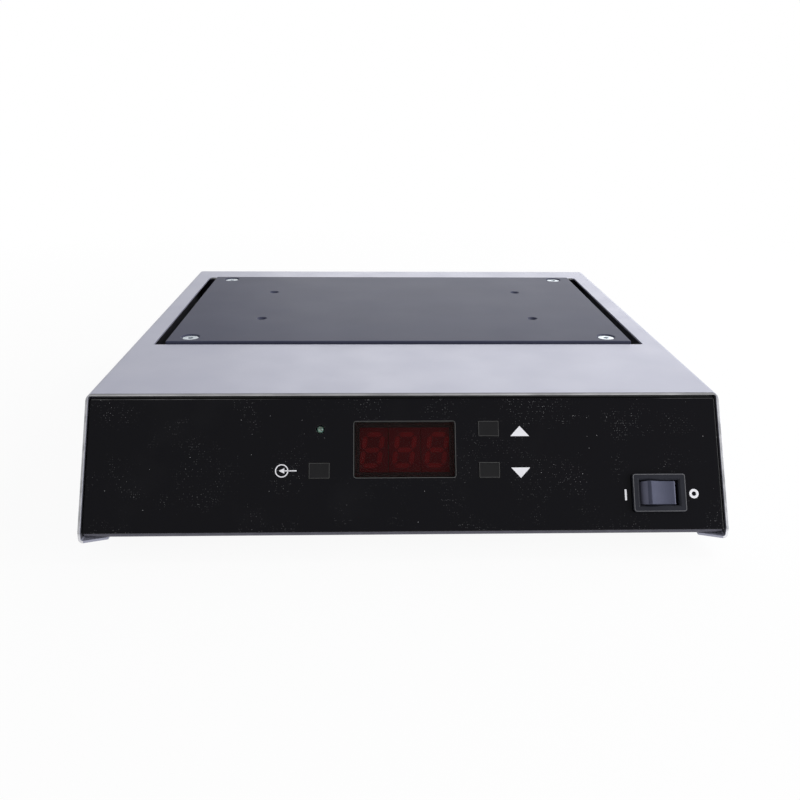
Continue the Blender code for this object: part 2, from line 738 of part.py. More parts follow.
def front_cutters(frame):
    """Holes through the chassis's front for the display, keys, lamp and switch."""
    through = CHASSIS_SHEET + 2 * CUT_OVER
    middle = CHASSIS_FRONT_DEPTH + CHASSIS_SHEET / 2
    display = plate(3 * DIGIT_PITCH + 2 * SEAT_GAP, DIGIT_HEIGHT + 2 * SEAT_GAP, through)
    key = plate(KEY_WIDTH + 2 * KEY_HOLE_GAP, KEY_HEIGHT + 2 * KEY_HOLE_GAP, through)
    switch = plate(SWITCH_BODY_WIDTH + 2 * SEAT_GAP, SWITCH_BODY_HEIGHT + 2 * SEAT_GAP, through)
    lamp = rod(LAMP_RADIUS + SEAT_GAP, through, 12)
    tools = [
        place(cutter(display), front_spot(WINDOW_ACROSS, WINDOW_DOWN, middle), parent=frame),
        place(cutter(switch), front_spot(SWITCH_ACROSS, SWITCH_DOWN, middle), parent=frame),
        place(cutter(lamp), front_spot(LAMP_ACROSS, LAMP_DOWN, middle), parent=frame),
    ]
    for across, down in KEYS.values():
        tools.append(place(cutter(key), front_spot(across, down, middle), parent=frame))
    return tools


def base_cutters():
    """Air slots, foot holes, pillar holes and cover screw holes in the base."""
    through = CHASSIS_SHEET + 2 * CUT_OVER
    level = BASE_BOTTOM + CHASSIS_SHEET / 2
    slot = plate(SLOT_WIDTH, BASE_SLOT_LENGTH, through, corner=SLOT_CORNER, segments=1)
    tools = []
    for row in (-1, 1):
        for index in range(BASE_SLOTS_PER_ROW):
            x = (index - (BASE_SLOTS_PER_ROW - 1) / 2) * BASE_SLOT_PITCH
            y = HEATER_Y + row * BASE_SLOT_ROW_PITCH / 2
            tools.append(place(cutter(slot), (x, y, level)))
    neck = rod(FOOT_NECK_RADIUS + SEAT_GAP, through, 12)
    tenon = rod(PILLAR_TENON_RADIUS + SEAT_GAP, through, 12)
    screw = rod(M3_RADIUS + SCREW_HOLE_GAP, through, 12)
    for side in SIDES.values():
        for y in (FOOT_FRONT_Y, FOOT_REAR_Y):
            tools.append(place(cutter(neck), (side * FOOT_X, y, level)))
        for y in cover_screw_rows():
            tools.append(place(cutter(screw), (side * COVER_SCREW_X, y, level)))
        for end in ENDS.values():
            spot = (side * PLATE_SCREW_X, HEATER_Y + end * PLATE_SCREW_Y, level)
            tools.append(place(cutter(tenon), spot))
    return tools


def rear_cutters():
    """The inlet's cut-out, the two socket holes and a row of air slots in the rear."""
    through = CHASSIS_SHEET + 2 * CUT_OVER
    middle = REAR_FACE_Y - CHASSIS_SHEET / 2
    upright = (math.pi / 2, 0, 0)
    inlet = plate(INLET_BODY_WIDTH + 2 * SEAT_GAP, INLET_BODY_HEIGHT + 2 * SEAT_GAP, through)
    jack = rod(JACK_BODY_RADIUS + SEAT_GAP, through, 16)
    slot = plate(SLOT_WIDTH, REAR_SLOT_LENGTH, through, corner=SLOT_CORNER, segments=1)
    tools = [place(cutter(inlet), (INLET_X, middle, INLET_Z), upright)]
    for index in range(2):
        tools.append(place(cutter(jack), (JACK_X - index * JACK_PITCH, middle, INLET_Z), upright))
    slots = 1 + round((REAR_SLOTS_LAST - REAR_SLOTS_FIRST) / REAR_SLOT_PITCH)
    for index in range(slots):
        x = REAR_SLOTS_FIRST + index * REAR_SLOT_PITCH
        tools.append(place(cutter(slot), (x, middle, REAR_SLOTS_Z), upright))
    return tools


def board_post(length):
    """A post with a thinner end that passes through its board, along +Z from the sheet."""
    points = [
        (0, length + BOARD_THICKNESS + 2 * SEAT_GAP),
        (BOARD_TENON_RADIUS, length + BOARD_THICKNESS + 2 * SEAT_GAP),
        (BOARD_TENON_RADIUS, length),
        (BOARD_POST_RADIUS, length),
        (BOARD_POST_RADIUS, -CHASSIS_SHEET / 2),
        (0, -CHASSIS_SHEET / 2),
    ]
    return cutter(turned(points, 12))


def board_posts(frame):
    """The posts of the control board, on the front, and of the power board, on the base."""
    reach = CONTROL_BOARD_DEPTH - CHASSIS_INNER_DEPTH - SEAT_GAP
    posts = []
    for x, y in board_corners(CONTROL_BOARD_WIDTH, CONTROL_BOARD_HEIGHT):
        spot = front_spot(x, CONTROL_BOARD_DOWN - y, CHASSIS_INNER_DEPTH)
        posts.append(place(board_post(reach), spot, (math.pi, 0, 0), parent=frame))
    for x, y in board_corners(POWER_BOARD_WIDTH, POWER_BOARD_LENGTH):
        spot = (POWER_BOARD_X + x, POWER_BOARD_Y + y, BASE_TOP)
        posts.append(place(board_post(POWER_BOARD_LIFT - SEAT_GAP), spot))
    return posts


def board_corners(width, height):
    """Where a board's four posts stand, round its middle."""
    x = width / 2 - BOARD_POST_INSET
    y = height / 2 - BOARD_POST_INSET
    return [(sx * x, sy * y) for sx in (-1, 1) for sy in (-1, 1)]


def make_feet():
    """Rubber feet, each with a neck through the base and a barb above it."""
    top = BASE_BOTTOM - SEAT_GAP
    barb = BASE_TOP + SEAT_GAP
    edge = FOOT_RADIUS - FOOT_SIDE_TAPER
    points = [
        (0, barb + FOOT_BARB_HEIGHT),
        (FOOT_TIP_RADIUS, barb + FOOT_BARB_HEIGHT),
        (FOOT_BARB_RADIUS, barb + FOOT_BARB_RIM),
        (FOOT_BARB_RADIUS, barb),
        (FOOT_NECK_RADIUS, barb),
        (FOOT_NECK_RADIUS, top),
        (FOOT_RADIUS, top),
        (edge, FOOT_EDGE),
        (edge - FOOT_EDGE, 0),
        (FOOT_DIMPLE_RADIUS, 0),
        (FOOT_DIMPLE_RADIUS, FOOT_DIMPLE_DEPTH),
        (0, FOOT_DIMPLE_DEPTH),
    ]
    for end, y in (("front", FOOT_FRONT_Y), ("rear", FOOT_REAR_Y)):
        for side, sign in SIDES.items():
            place(piece(f"foot_{end}_{side}", turned(points), "rubber"), (sign * FOOT_X, y, 0))


def hex_socket(radius, depth):
    """A cutter for a screw's hexagon socket, whose mouth is at the origin and faces +Z."""
    tool = cutter(rod(radius, depth + CUT_OVER, 6))
    tool.data.transform(Matrix.Translation((0, 0, (CUT_OVER - depth) / 2)))
    return tool


def make_cover_screws():
    """Pan-head screws up through the cover's flanges into the base."""
    points = [
        (0, M3_HEAD_HEIGHT),
        (M3_CROWN_RADIUS, M3_HEAD_HEIGHT),
        (M3_HEAD_RADIUS, M3_HEAD_RIM),
        (M3_HEAD_RADIUS, 0),
        (M3_RADIUS, 0),
        (M3_RADIUS, -M3_LENGTH),
        (0, -M3_LENGTH),
    ]
    for end, y in zip(ENDS, cover_screw_rows()):
        for side, sign in SIDES.items():
            screw = piece(f"cover_screw_{end}_{side}", turned(points, 12), "zinc")
            place(screw, (sign * COVER_SCREW_X, y, COVER_BOTTOM - SEAT_GAP), (math.pi, 0, 0))
            socket = hex_socket(M3_SOCKET_RADIUS, M3_SOCKET_DEPTH)
            cut(screw, [place(socket, (0, 0, M3_HEAD_HEIGHT), parent=screw)])


# Heater

def make_heater_plate():
    """The coated plate: countersunk at its corners, and tapped for a board holder further in."""
    mesh = block((PLATE_WIDTH, PLATE_DEPTH, PLATE_THICKNESS), PLATE_EDGE, 1)
    heater_plate = piece("heater_plate", mesh, "plate_coating")
    place(heater_plate, (0, HEATER_Y, PLATE_BOTTOM + PLATE_THICKNESS / 2))
    mouth = M4_HEAD_RADIUS + PLATE_SINK_GAP
    hole = M4_RADIUS + SEAT_GAP
    below = -PLATE_THICKNESS - CUT_OVER
    countersink = [
        (0, CUT_OVER),
        (mouth, CUT_OVER),
        (mouth, 0),
        (hole, hole - mouth),
        (hole, below),
        (0, below),
    ]
    rim = ACCESSORY_BORE_RADIUS + ACCESSORY_CHAMFER
    tapping = [
        (0, CUT_OVER),
        (rim, CUT_OVER),
        (rim, 0),
        (ACCESSORY_BORE_RADIUS, -ACCESSORY_CHAMFER),
        (ACCESSORY_BORE_RADIUS, below),
        (0, below),
    ]
    tools = []
    for side in SIDES.values():
        for end in ENDS.values():
            corner = (side * PLATE_SCREW_X, HEATER_Y + end * PLATE_SCREW_Y, PLATE_TOP)
            tools.append(place(cutter(turned(countersink, 20)), corner))
            along = HEATER_Y + end * ACCESSORY_PITCH_Y / 2
            spot = (side * ACCESSORY_PITCH_X / 2, along, PLATE_TOP)
            tools.append(place(cutter(turned(tapping)), spot))
    return cut(heater_plate, tools)


def make_plate_fixings():
    """A countersunk screw and a shouldered pillar at each corner of the plate."""
    head = M4_HEAD_RADIUS - M4_RADIUS
    screw_points = [
        (0, 0),
        (M4_HEAD_RADIUS, 0),
        (M4_RADIUS, -head),
        (M4_RADIUS, -M4_LENGTH),
        (0, -M4_LENGTH),
    ]
    top = PLATE_BOTTOM - SEAT_GAP
    bore = M4_RADIUS + SEAT_GAP
    shoulder = TRAY_BOTTOM - SEAT_GAP
    foot = BASE_TOP + SEAT_GAP
    tenon_end = BASE_BOTTOM + SEAT_GAP
    pillar_points = [
        (0, top - PILLAR_THREAD_DEPTH),
        (bore, top - PILLAR_THREAD_DEPTH),
        (bore, top),
        (PILLAR_NECK_RADIUS, top),
        (PILLAR_NECK_RADIUS, shoulder),
        (PILLAR_RADIUS, shoulder),
        (PILLAR_RADIUS, foot),
        (PILLAR_TENON_RADIUS, foot),
        (PILLAR_TENON_RADIUS, tenon_end),
        (0, tenon_end),
    ]
    for end, along in ENDS.items():
        for side, across in SIDES.items():
            x = across * PLATE_SCREW_X
            y = HEATER_Y + along * PLATE_SCREW_Y
            screw = piece(f"plate_screw_{end}_{side}", turned(screw_points, 20), "zinc")
            place(screw, (x, y, PLATE_TOP - PLATE_HEAD_SINK))
            cut(screw, [place(hex_socket(M4_SOCKET_RADIUS, M4_SOCKET_DEPTH), parent=screw)])
            pillar = piece(f"plate_pillar_{end}_{side}", turned(pillar_points, 12), "zinc")
            place(pillar, (x, y, 0))


def element_rows():
    """Where the element's passes lie, from front to rear."""
    middle = (ELEMENT_PASSES - 1) / 2
    return [HEATER_Y + (index - middle) * ELEMENT_PITCH for index in range(ELEMENT_PASSES)]


def element_path():
    """The serpentine from one tail, down through the tray, to the other, on the left side."""
    reach = PLATE_WIDTH / 2 - ELEMENT_END_MARGIN
    rows = element_rows()
    corners = [(-reach, rows[0], ELEMENT_Z - ELEMENT_TAIL)]
    x = -reach
    for row in rows:
        corners.append((x, row, ELEMENT_Z))
        x = -x
        corners.append((x, row, ELEMENT_Z))
    corners.append((-reach, rows[-1], ELEMENT_Z - ELEMENT_TAIL))
    return filleted(corners, ELEMENT_PITCH / 2 - ELEMENT_BEND_GAP, 5)


def make_heating_element():
    return piece("heating_element", tube_curve(element_path(), ELEMENT_RADIUS), "element_steel")


def make_element_clamps():
    """Two bars across the element, each held up to the plate by two studs."""
    length = (ELEMENT_PASSES - 1) * ELEMENT_PITCH + 2 * CLAMP_OVERHANG
    stud_top = PLATE_BOTTOM - SEAT_GAP
    stud_length = stud_top - CLAMP_TOP + CLAMP_THICKNESS / 2
    for side, sign in SIDES.items():
        x = sign * CLAMP_SPREAD / 2
        bar = plate(CLAMP_WIDTH, length, CLAMP_THICKNESS, corner=CLAMP_CORNER, segments=2)
        clamp = place(
            piece(f"element_clamp_{side}", bar, "galvanised_steel"),
            (x, HEATER_Y, CLAMP_TOP - CLAMP_THICKNESS / 2),
        )
        studs = []
        for end in ENDS.values():
            stud = cutter(rod(CLAMP_STUD_RADIUS, stud_length, 10))
            studs.append(place(stud, (x, HEATER_Y + end * ELEMENT_PITCH, stud_top - stud_length / 2)))
        join(clamp, studs)


def make_insulation():
    width = PLATE_WIDTH - 2 * INSULATION_MARGIN_X
    depth = PLATE_DEPTH - 2 * INSULATION_MARGIN_Y
    size = (width, depth, INSULATION_THICKNESS)
    board = piece("insulation_board", block(size, INSULATION_EDGE, 1), "ceramic_fibre")
    place(board, (0, HEATER_Y, TRAY_FLOOR + SEAT_GAP + INSULATION_THICKNESS / 2))


def make_reflector_tray():
    """An open tray under the plate, resting on the pillars' shoulders."""
    bm = bmesh.new()
    size = (PLATE_WIDTH - 2 * TRAY_MARGIN, PLATE_DEPTH - 2 * TRAY_MARGIN, TRAY_DEPTH)
    bmesh.ops.create_cube(bm, size=1.0, matrix=Matrix.Diagonal((*size, 1.0)))
    bmesh.ops.translate(bm, vec=(0, HEATER_Y, TRAY_BOTTOM + TRAY_DEPTH / 2), verts=bm.verts[:])
    lid = [max(bm.faces, key=lambda face: face.calc_center_median().z)]
    bmesh.ops.delete(bm, geom=lid, context="FACES_ONLY")
    tray = thicken(piece("reflector_tray", finish_mesh("tray", bm), "aluminium"), TRAY_SHEET, -1)
    tools = []
    neck = rod(PILLAR_NECK_RADIUS + SEAT_GAP, TRAY_DEPTH, 12)
    for side in SIDES.values():
        for end in ENDS.values():
            spot = (side * PLATE_SCREW_X, HEATER_Y + end * PLATE_SCREW_Y, TRAY_BOTTOM)
            tools.append(place(cutter(neck), spot))
    tail = rod(ELEMENT_RADIUS + SEAT_GAP, TRAY_DEPTH, 12)
    rows = element_rows()
    for y in (rows[0], rows[-1]):
        spot = (ELEMENT_END_MARGIN - PLATE_WIDTH / 2, y, TRAY_BOTTOM)
        tools.append(place(cutter(tail), spot))
    return cut(tray, tools)


def make_sensors():
    """The temperature probe and the overheat cut-out, under the plate between two passes."""
    rows = element_rows()
    middle = (rows[2] + rows[3]) / 2
    level = PLATE_BOTTOM - SEAT_GAP
    probe = piece("temperature_probe", rod(PROBE_RADIUS, PROBE_LENGTH, 12), "zinc")
    place(probe, (0, middle, level - PROBE_RADIUS), (0, math.pi / 2, 0))
    points = [
        (0, 0),
        (CUTOUT_RADIUS, 0),
        (CUTOUT_RADIUS, -CUTOUT_FLANGE),
        (CUTOUT_BODY_RADIUS, -CUTOUT_FLANGE - CUTOUT_SHOULDER),
        (CUTOUT_BODY_RADIUS, -CUTOUT_HEIGHT),
        (0, -CUTOUT_HEIGHT),
    ]
    cutout = piece("overheat_cutout", turned(points), "plastic_black")
    place(cutout, (PLATE_WIDTH / 2 - CUTOUT_INSET, middle, level))


def make_heat_shield():
    """An upright sheet between the heater and the electronics, with a foot on the base."""
    foot = BASE_TOP + SEAT_GAP
    top = TRAY_TOP - SHIELD_SHEET
    corners = [(0, SHIELD_Y - SHIELD_FOOT, foot), (0, SHIELD_Y, foot), (0, SHIELD_Y, top)]
    path = filleted(corners, 2 * SHIELD_SHEET, 3)
    sheet = folded_sheet(path, (1, 0, 0), COVER_WIDTH - 2 * SHIELD_SIDE_GAP)
    thicken(piece("heat_shield", sheet, "aluminium"), SHIELD_SHEET, 1)


# Front

def make_fascia(frame):
    """The black front plate, its top and side edges bevelled, with its cut-outs."""
    width = COVER_WIDTH - 2 * (COVER_SHEET + FASCIA_SIDE_GAP)
    height = FASCIA_BOTTOM - FASCIA_TOP
    bm = bmesh.new()
    size = (width, height, FASCIA_THICKNESS)
    bmesh.ops.create_cube(bm, size=1.0, matrix=Matrix.Diagonal((*size, 1.0)))
    corners = [e for e in bm.edges if is_upright(e) and e.verts[0].co.y > 0]
    bevel(bm, corners, FASCIA_CORNER, 3)
    above_foot = MERGE_DISTANCE - height / 2
    rim = [
        e for e in bm.edges
        if all(v.co.z > 0 for v in e.verts) and any(v.co.y > above_foot for v in e.verts)
    ]
    bevel(bm, rim, FASCIA_EDGE, 2)
    fascia = piece("front_fascia", finish_mesh("fascia", bm), "fascia_black")
    middle = FASCIA_RECESS + FASCIA_THICKNESS / 2
    place(fascia, front_spot(0, (FASCIA_TOP + FASCIA_BOTTOM) / 2, middle), parent=frame)

    through = FASCIA_THICKNESS + 2 * CUT_OVER
    corner = WINDOW_CORNER + SEAT_GAP
    window = plate(WINDOW_WIDTH, WINDOW_HEIGHT, through, corner, segments=2)
    key = plate(KEY_WIDTH + 2 * KEY_HOLE_GAP, KEY_HEIGHT + 2 * KEY_HOLE_GAP, through)
    switch = plate(SWITCH_BODY_WIDTH + 2 * SEAT_GAP, SWITCH_BODY_HEIGHT + 2 * SEAT_GAP, through)
    lamp = rod(LAMP_RADIUS + SEAT_GAP, through, 16)
    tools = [
        place(cutter(window), front_spot(WINDOW_ACROSS, WINDOW_DOWN, middle), parent=frame),
        place(cutter(switch), front_spot(SWITCH_ACROSS, SWITCH_DOWN, middle), parent=frame),
        place(cutter(lamp), front_spot(LAMP_ACROSS, LAMP_DOWN, middle), parent=frame),
    ]
    for across, down in KEYS.values():
        tools.append(place(cutter(key), front_spot(across, down, middle), parent=frame))
    return cut(fascia, tools)


def is_upright(edge):
    """Whether an edge of a flat plate runs through its thickness."""
    a, b = (v.co for v in edge.verts)
    return (a - b).to_2d().length < MERGE_DISTANCE


def make_window(frame):
    """The red filter, seated in the fascia's opening in front of the digits."""
    mesh = plate(
        WINDOW_WIDTH - 2 * SEAT_GAP,
        WINDOW_HEIGHT - 2 * SEAT_GAP,
        WINDOW_THICKNESS,
        corner=WINDOW_CORNER,
        segments=2,
    )
    depth = FASCIA_RECESS + FASCIA_THICKNESS - WINDOW_THICKNESS / 2
    window = piece("display_window", mesh, "window_red")
    place(window, front_spot(WINDOW_ACROSS, WINDOW_DOWN, depth), parent=frame)


def segment_outline(length):
    """One bar of a digit, along X round the origin, with pointed ends."""
    half = length / 2 - SEGMENT_GAP
    point = SEGMENT_BAR / 2
    return [
        (-half, 0),
        (point - half, -point),
        (half - point, -point),
        (half, 0),
        (half - point, point),
        (point - half, point),
    ]


def segment_cutters(parent):
    """The seven bars of a digit, leaning to the right, as cutters into its face."""
    bar = SEGMENT_SPAN - SEGMENT_BAR
    half = (SEGMENT_HEIGHT - SEGMENT_BAR) / 2
    flat = [(0, half), (0, 0), (0, -half)]
    upright = [(side * bar / 2, level) for side in (-1, 1) for level in (-half / 2, half / 2)]
    lean = Matrix.Identity(4)
    lean[0][1] = math.tan(SEGMENT_LEAN)
    tools = []
    for places, length, angle in ((flat, bar, 0.0), (upright, half, math.pi / 2)):
        for x, y in places:
            mesh = outline_mesh(segment_outline(length), 2 * SEGMENT_ENGRAVING)
            mesh.transform(lean @ Matrix.Translation((x, y, 0)) @ Matrix.Rotation(angle, 4, "Z"))
            tools.append(place(cutter(mesh), (0, 0, DIGIT_DEPTH / 2), parent=parent))
    return tools


def make_digits(frame):
    for index in range(3):
        across = WINDOW_ACROSS + (index - 1) * DIGIT_PITCH
        mesh = plate(DIGIT_WIDTH, DIGIT_HEIGHT, DIGIT_DEPTH)
        digit = piece(f"display_digit_{index + 1}", mesh, "digit_face")
        depth = DIGIT_FACE_DEPTH + DIGIT_DEPTH / 2
        place(digit, front_spot(across, WINDOW_DOWN, depth), parent=frame)
        cut(digit, segment_cutters(digit))


def make_keys(frame):
    """Each key is a cap, a skirt behind the chassis and a stem into its key switch."""
    skirt = (KEY_WIDTH + 2 * KEY_SKIRT, KEY_HEIGHT + 2 * KEY_SKIRT)
    skirt_back = -(CHASSIS_INNER_DEPTH + SEAT_GAP + KEY_SKIRT_THICKNESS)
    skirt_front = skirt_back + KEY_SKIRT_THICKNESS
    face = KEY_PROUD - FASCIA_RECESS
    stem_end = -(KEY_SWITCH_TOP_DEPTH + KEY_STEM_REACH)
    steps = [
        (KEY_STEM, KEY_STEM, skirt_back),
        (*skirt, skirt_front),
        (KEY_WIDTH, KEY_HEIGHT, face),
    ]
    pocket = KEY_STEM + 2 * SEAT_GAP
    base = -(CONTROL_BOARD_DEPTH - SEAT_GAP)
    top = -KEY_SWITCH_TOP_DEPTH
    bottom = top - KEY_STEM_REACH - KEY_TRAVEL - SEAT_GAP
    switch_steps = [(KEY_SWITCH_SIDE, KEY_SWITCH_SIDE, top), (pocket, pocket, bottom)]
    for name, (across, down) in KEYS.items():
        cap = stepped_block((KEY_STEM, KEY_STEM), stem_end, steps)
        key = piece(f"{name}_key", cap, "plastic_black")
        place(key, front_spot(across, down, 0), parent=frame)
        body = stepped_block((KEY_SWITCH_SIDE, KEY_SWITCH_SIDE), base, switch_steps)
        switch = piece(f"{name}_key_switch", body, "plastic_black")
        place(switch, front_spot(across, down, 0), parent=frame)


def make_lamp(frame):
    """The status lamp: a domed lens in the fascia, on a spacer that stands on the board."""
    collar = -(CHASSIS_INNER_DEPTH + SEAT_GAP)
    base = -(CONTROL_BOARD_DEPTH - SEAT_GAP)
    quarter = [step * math.pi / 6 for step in range(4)]
    dome = [(LAMP_RADIUS * math.sin(a), LAMP_RADIUS * (math.cos(a) - 1)) for a in quarter]
    points = dome + [
        (LAMP_RADIUS, collar),
        (LAMP_RADIUS + LAMP_COLLAR, collar),
        (LAMP_RADIUS + LAMP_COLLAR, base),
        (0, base),
    ]
    lamp = piece("status_lamp", turned(points), "lamp_lens")
    place(lamp, front_spot(LAMP_ACROSS, LAMP_DOWN, 0), parent=frame)


def make_board(name, width, height, location, parent=None):
    """A circuit board with a hole for each of its posts."""
    board = piece(name, plate(width, height, BOARD_THICKNESS), "circuit_board")
    place(board, location, parent=parent)
    tools = []
    for x, y in board_corners(width, height):
        hole = rod(BOARD_TENON_RADIUS + SEAT_GAP, BOARD_THICKNESS + 2 * CUT_OVER, 12)
        tools.append(place(cutter(hole), (x, y, 0), parent=board))
    return cut(board, tools)


def make_switch_body(frame):
    """The switch's bezel and body in one, with its two tabs, open in front for the rocker."""
    back = -(FASCIA_RECESS + SWITCH_BODY_DEPTH)
    seat = SEAT_GAP - FASCIA_RECESS
    face = seat + SWITCH_BEZEL
    floor = back + SWITCH_FLOOR
    steps = [
        (SWITCH_BODY_WIDTH, SWITCH_BODY_HEIGHT, seat),
        (SWITCH_WIDTH, SWITCH_HEIGHT, face),
        (ROCKER_WIDTH + 2 * ROCKER_GAP, ROCKER_HEIGHT + 2 * ROCKER_GAP, floor),
    ]
    mesh = stepped_block((SWITCH_BODY_WIDTH, SWITCH_BODY_HEIGHT), back, steps)
    body = piece("power_switch_body", mesh, "plastic_black")
    place(body, front_spot(SWITCH_ACROSS, SWITCH_DOWN, 0), parent=frame)
    reach = ROCKER_HEIGHT + 2 * (ROCKER_GAP + ROCKER_PIN_REACH + SEAT_GAP)
    pivot = cutter(rod(ROCKER_PIN_RADIUS + SEAT_GAP, reach, 12))
    place(pivot, (0, 0, -ROCKER_AXIS_DEPTH), (math.pi / 2, 0, 0), parent=body)
    cut(body, [pivot])
    tabs = []
    for side in SIDES.values():
        length = SWITCH_TAB_LENGTH + SWITCH_FLOOR / 2
        tab = cutter(block((SWITCH_TAB_THICKNESS, SWITCH_TAB_WIDTH, length)))
        middle = back - SWITCH_TAB_LENGTH + length / 2
        tabs.append(place(tab, (side * SWITCH_TAB_PITCH / 2, 0, middle), parent=body))
    return join(body, tabs)


def rocker_outline():
    """The rocker seen along its pivot, at the origin: a hollow top between two concentric ends."""
    radius = ROCKER_WIDTH / 2
    corner_x = radius * math.cos(ROCKER_CORNER)
    corner_y = radius * math.sin(ROCKER_CORNER)
    shares = [i / 4 - 1 for i in range(9)]
    top = [(share * corner_x, corner_y - ROCKER_HOLLOW * (1 - share * share)) for share in shares]
    turns = [ROCKER_CORNER - i / 6 * (ROCKER_CORNER + ROCKER_SKIRT) for i in range(1, 7)]
    right = [(radius * math.cos(angle), radius * math.sin(angle)) for angle in turns]
    left = [(-x, y) for x, y in reversed(right)]
    return top + right + left


def make_rocker(frame):
    """The rocker on its two pins, tipped so that its right-hand end is pressed in."""
    mesh = smoothed(outline_mesh(rocker_outline(), ROCKER_HEIGHT))
    mesh.transform(Matrix.Rotation(math.pi / 2, 4, "X"))
    rocker = piece("power_rocker", mesh, "plastic_black")
    spot = front_spot(SWITCH_ACROSS, SWITCH_DOWN, ROCKER_AXIS_DEPTH)
    place(rocker, spot, (0, ROCKER_TILT, 0), frame)
    edges = rocker.modifiers.new("edges", "BEVEL")
    edges.width = ROCKER_EDGE
    edges.segments = 2
    edges.limit_method = "ANGLE"
    edges.angle_limit = SMOOTH_ANGLE
    length = ROCKER_HEIGHT + 2 * (ROCKER_GAP + ROCKER_PIN_REACH)
    pin = cutter(rod(ROCKER_PIN_RADIUS, length, 12))
    return join(rocker, [place(pin, rotation=(math.pi / 2, 0, 0), parent=rocker)])


# Power board

def on_power_board(name, mesh, material, across, along, height):
    """A component that stands on the power board."""
    obj = piece(name, mesh, material)
    level = POWER_BOARD_TOP + SEAT_GAP + height / 2
    return place(obj, (POWER_BOARD_X + across, POWER_BOARD_Y + along, level))


def heatsink_outline():
    """A comb of upright fins on a thick back, seen from above."""
    half = HEATSINK_WIDTH / 2
    pitch = (HEATSINK_WIDTH - HEATSINK_FIN) / (HEATSINK_FINS - 1)
    points = [(-half, 0), (half, 0)]
    for i in reversed(range(HEATSINK_FINS)):
        left = -half + i * pitch
        right = left + HEATSINK_FIN
        points += [(right, HEATSINK_DEPTH), (left, HEATSINK_DEPTH)]
        if i:
            points += [(left, HEATSINK_BACK), (left - pitch + HEATSINK_FIN, HEATSINK_BACK)]
    return points


def make_power_parts():
    board_spot = (POWER_BOARD_X, POWER_BOARD_Y, POWER_BOARD_BOTTOM + BOARD_THICKNESS / 2)
    make_board("power_board", POWER_BOARD_WIDTH, POWER_BOARD_LENGTH, board_spot)
    on_power_board(
        "transformer",
        block(TRANSFORMER_SIZE, TRANSFORMER_EDGE),
        "plastic_black",
        TRANSFORMER_ACROSS,
        0,
        TRANSFORMER_SIZE[2],
    )
    on_power_board(
        "heatsink",
        outline_mesh(heatsink_outline(), HEATSINK_HEIGHT),
        "aluminium",
        HEATSINK_ACROSS,
        0,
        HEATSINK_HEIGHT,
    )
    in_front_of_sink = -TRIAC_SIZE[1] / 2 - SEAT_GAP
    on_power_board(
        "triac",
        block(TRIAC_SIZE, TRIAC_EDGE, 1),
        "plastic_black",
        HEATSINK_ACROSS,
        in_front_of_sink,
        TRIAC_SIZE[2],
    )
    make_fuse()


def make_fuse():
    """A glass fuse in the two clips of its holder."""
    axis_z = POWER_BOARD_TOP + SEAT_GAP + FUSE_AXIS_HEIGHT
    spot = (POWER_BOARD_X + FUSE_ACROSS, POWER_BOARD_Y - FUSE_FORWARD, axis_z)
    along_x = (0, math.pi / 2, 0)
    place(piece("mains_fuse", rod(FUSE_RADIUS, FUSE_LENGTH, 12), "fuse_glass"), spot, along_x)
    holder = on_power_board(
        "fuse_holder",
        block((FUSE_LENGTH, FUSE_BASE_WIDTH, FUSE_BASE_HEIGHT)),
        "brass",
        FUSE_ACROSS,
        -FUSE_FORWARD,
        FUSE_BASE_HEIGHT,
    )
    clip_x = (FUSE_LENGTH - FUSE_CLIP_LENGTH) / 2
    clip_z = (FUSE_CLIP_HEIGHT - FUSE_BASE_HEIGHT) / 2
    clips = []
    for side in SIDES.values():
        clip = cutter(block((FUSE_CLIP_LENGTH, FUSE_CLIP_WIDTH, FUSE_CLIP_HEIGHT)))
        clips.append(place(clip, (side * clip_x, 0, clip_z), parent=holder))
    join(holder, clips)
    fuse_z = FUSE_AXIS_HEIGHT - FUSE_BASE_HEIGHT / 2
    length = FUSE_LENGTH + 2 * CUT_OVER
    bed = place(cutter(rod(FUSE_RADIUS + SEAT_GAP, length, 12)), (0, 0, fuse_z), along_x, holder)
    mouth = cutter(block((length, FUSE_MOUTH, FUSE_CLIP_HEIGHT)))
    place(mouth, (0, 0, fuse_z + FUSE_CLIP_HEIGHT / 2), parent=holder)
    return cut(holder, [bed, mouth])


# Rear

